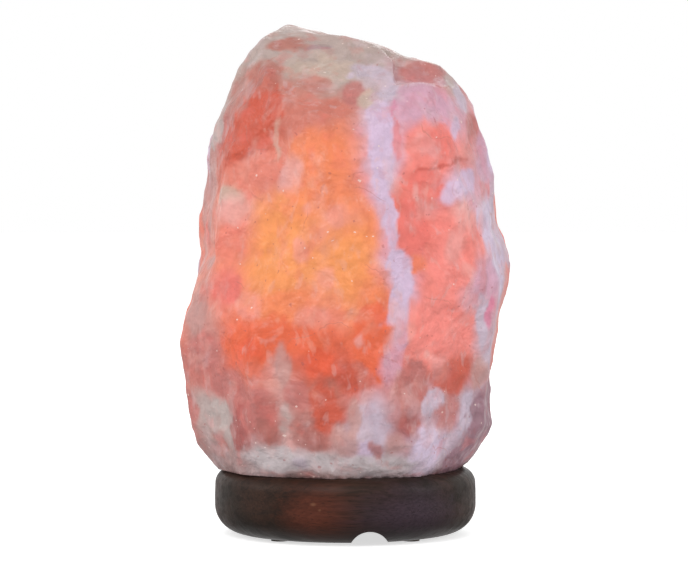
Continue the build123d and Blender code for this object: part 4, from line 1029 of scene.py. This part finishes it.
cap_low, cap_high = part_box("bulb_cap")
cap_radius = (cap_high.x - cap_low.x) / 2
tube_foot = cap_low.z + CAP_SLOPE
tube_height = cap_high.z - tube_foot
bpy.ops.object.select_all(action="DESELECT")
bpy.ops.mesh.primitive_cylinder_add(
    vertices=THREAD_SIDES, radius=cap_radius, depth=tube_height,
    end_fill_type="NOTHING", location=(0, 0, tube_foot + tube_height / 2))
thread = bpy.context.object
thread.name = "threaded_cap"
bpy.ops.object.transform_apply(location=True, rotation=True, scale=True)


def select_edges(piece, wanted):
    """Select the edges for which wanted(first end, second end) is true, and stay in edit mode."""
    bpy.ops.object.mode_set(mode="EDIT")
    bpy.ops.mesh.select_mode(type="EDGE")
    bpy.ops.mesh.select_all(action="DESELECT")
    bpy.ops.object.mode_set(mode="OBJECT")
    corners = piece.data.vertices
    for edge in piece.data.edges:
        first, second = (corners[number].co for number in edge.vertices)
        edge.select = wanted(first, second)
    bpy.ops.object.mode_set(mode="EDIT")


select_edges(thread, lambda first, second: abs(first.z - second.z) > MM)
bpy.ops.mesh.subdivide(number_cuts=THREAD_RINGS)
bpy.ops.object.mode_set(mode="OBJECT")

# %% Roll the thread, turn the foot in and give the sheet its thickness
for vertex in thread.data.vertices:
    angle = atan2(vertex.co.y, vertex.co.x)
    from_foot = vertex.co.z - tube_foot - PLAIN_FOOT
    from_rim = cap_high.z - PLAIN_RIM - vertex.co.z
    share = max(0.0, min(1.0, from_foot / THREAD_FADE, from_rim / THREAD_FADE))
    wave = (1 - cos(tau * vertex.co.z / THREAD_PITCH - angle)) / 2
    radius = cap_radius - THREAD_DEPTH * wave * share
    vertex.co.x = radius * cos(angle)
    vertex.co.y = radius * sin(angle)
select_edges(thread, lambda first, second: max(first.z, second.z) < tube_foot + TINY)
bpy.ops.mesh.extrude_region_move(TRANSFORM_OT_translate={"value": (0, 0, -CAP_SLOPE)})
bpy.ops.transform.resize(value=(FOOT_TURN_IN, FOOT_TURN_IN, 1.0))
bpy.ops.mesh.select_all(action="SELECT")
bpy.ops.mesh.normals_make_consistent(inside=False)
bpy.ops.object.mode_set(mode="OBJECT")
modify(thread, "SOLIDIFY", thickness=CAP_SHEET, offset=-1.0)
pick(thread)
bpy.ops.object.shade_smooth_by_angle(angle=radians(50))
thread.data.materials.append(nickel.material)
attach(thread, "bulb")
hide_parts("bulb_cap")
print("threaded cap:", count_triangles(thread), "triangles")

# %% [markdown]
# ## The filament
#
# The filament is a fine wire wound into a tight coil and hung between its two supports. A helix that
# follows the same shallow arch as the construction model's rod gives it, with a thin round wire.

# %% A coil along a shallow arch
FILAMENT_TURNS = 34
POINTS_PER_TURN = 10
FILAMENT_WIRE = 0.07 * MM

arch_low, arch_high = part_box("filament")
coil_radius = (arch_high.y - arch_low.y) / 2 - FILAMENT_WIRE
half_span = (arch_high.x - arch_low.x) / 2 - coil_radius - 2 * FILAMENT_WIRE
rise = arch_high.z - arch_low.z - 2 * (coil_radius + FILAMENT_WIRE)
start_level = arch_low.z + coil_radius + FILAMENT_WIRE
winding = bpy.data.curves.new("filament_coil", "CURVE")
winding.dimensions = "3D"
winding.bevel_depth = FILAMENT_WIRE
winding.bevel_resolution = 1
winding.use_fill_caps = True
path = winding.splines.new("POLY")
count = FILAMENT_TURNS * POINTS_PER_TURN
path.points.add(count)
for number in range(count + 1):
    along = 2 * number / count - 1
    turn = tau * number / POINTS_PER_TURN
    x = half_span * along
    z = start_level + rise * (1 - along * along)
    path.points[number].co = (x, coil_radius * cos(turn), z + coil_radius * sin(turn), 1.0)
filament = bpy.data.objects.new("filament_coil", winding)
bpy.context.scene.collection.objects.link(filament)
pick(filament)
bpy.ops.object.convert(target="MESH")
filament = bpy.context.object
bpy.ops.object.shade_smooth()
filament.data.materials.append(tungsten.material)
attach(filament, "bulb")
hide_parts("filament")
print("filament:", count_triangles(filament), "triangles")

# %% Measure and finish
low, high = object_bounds()
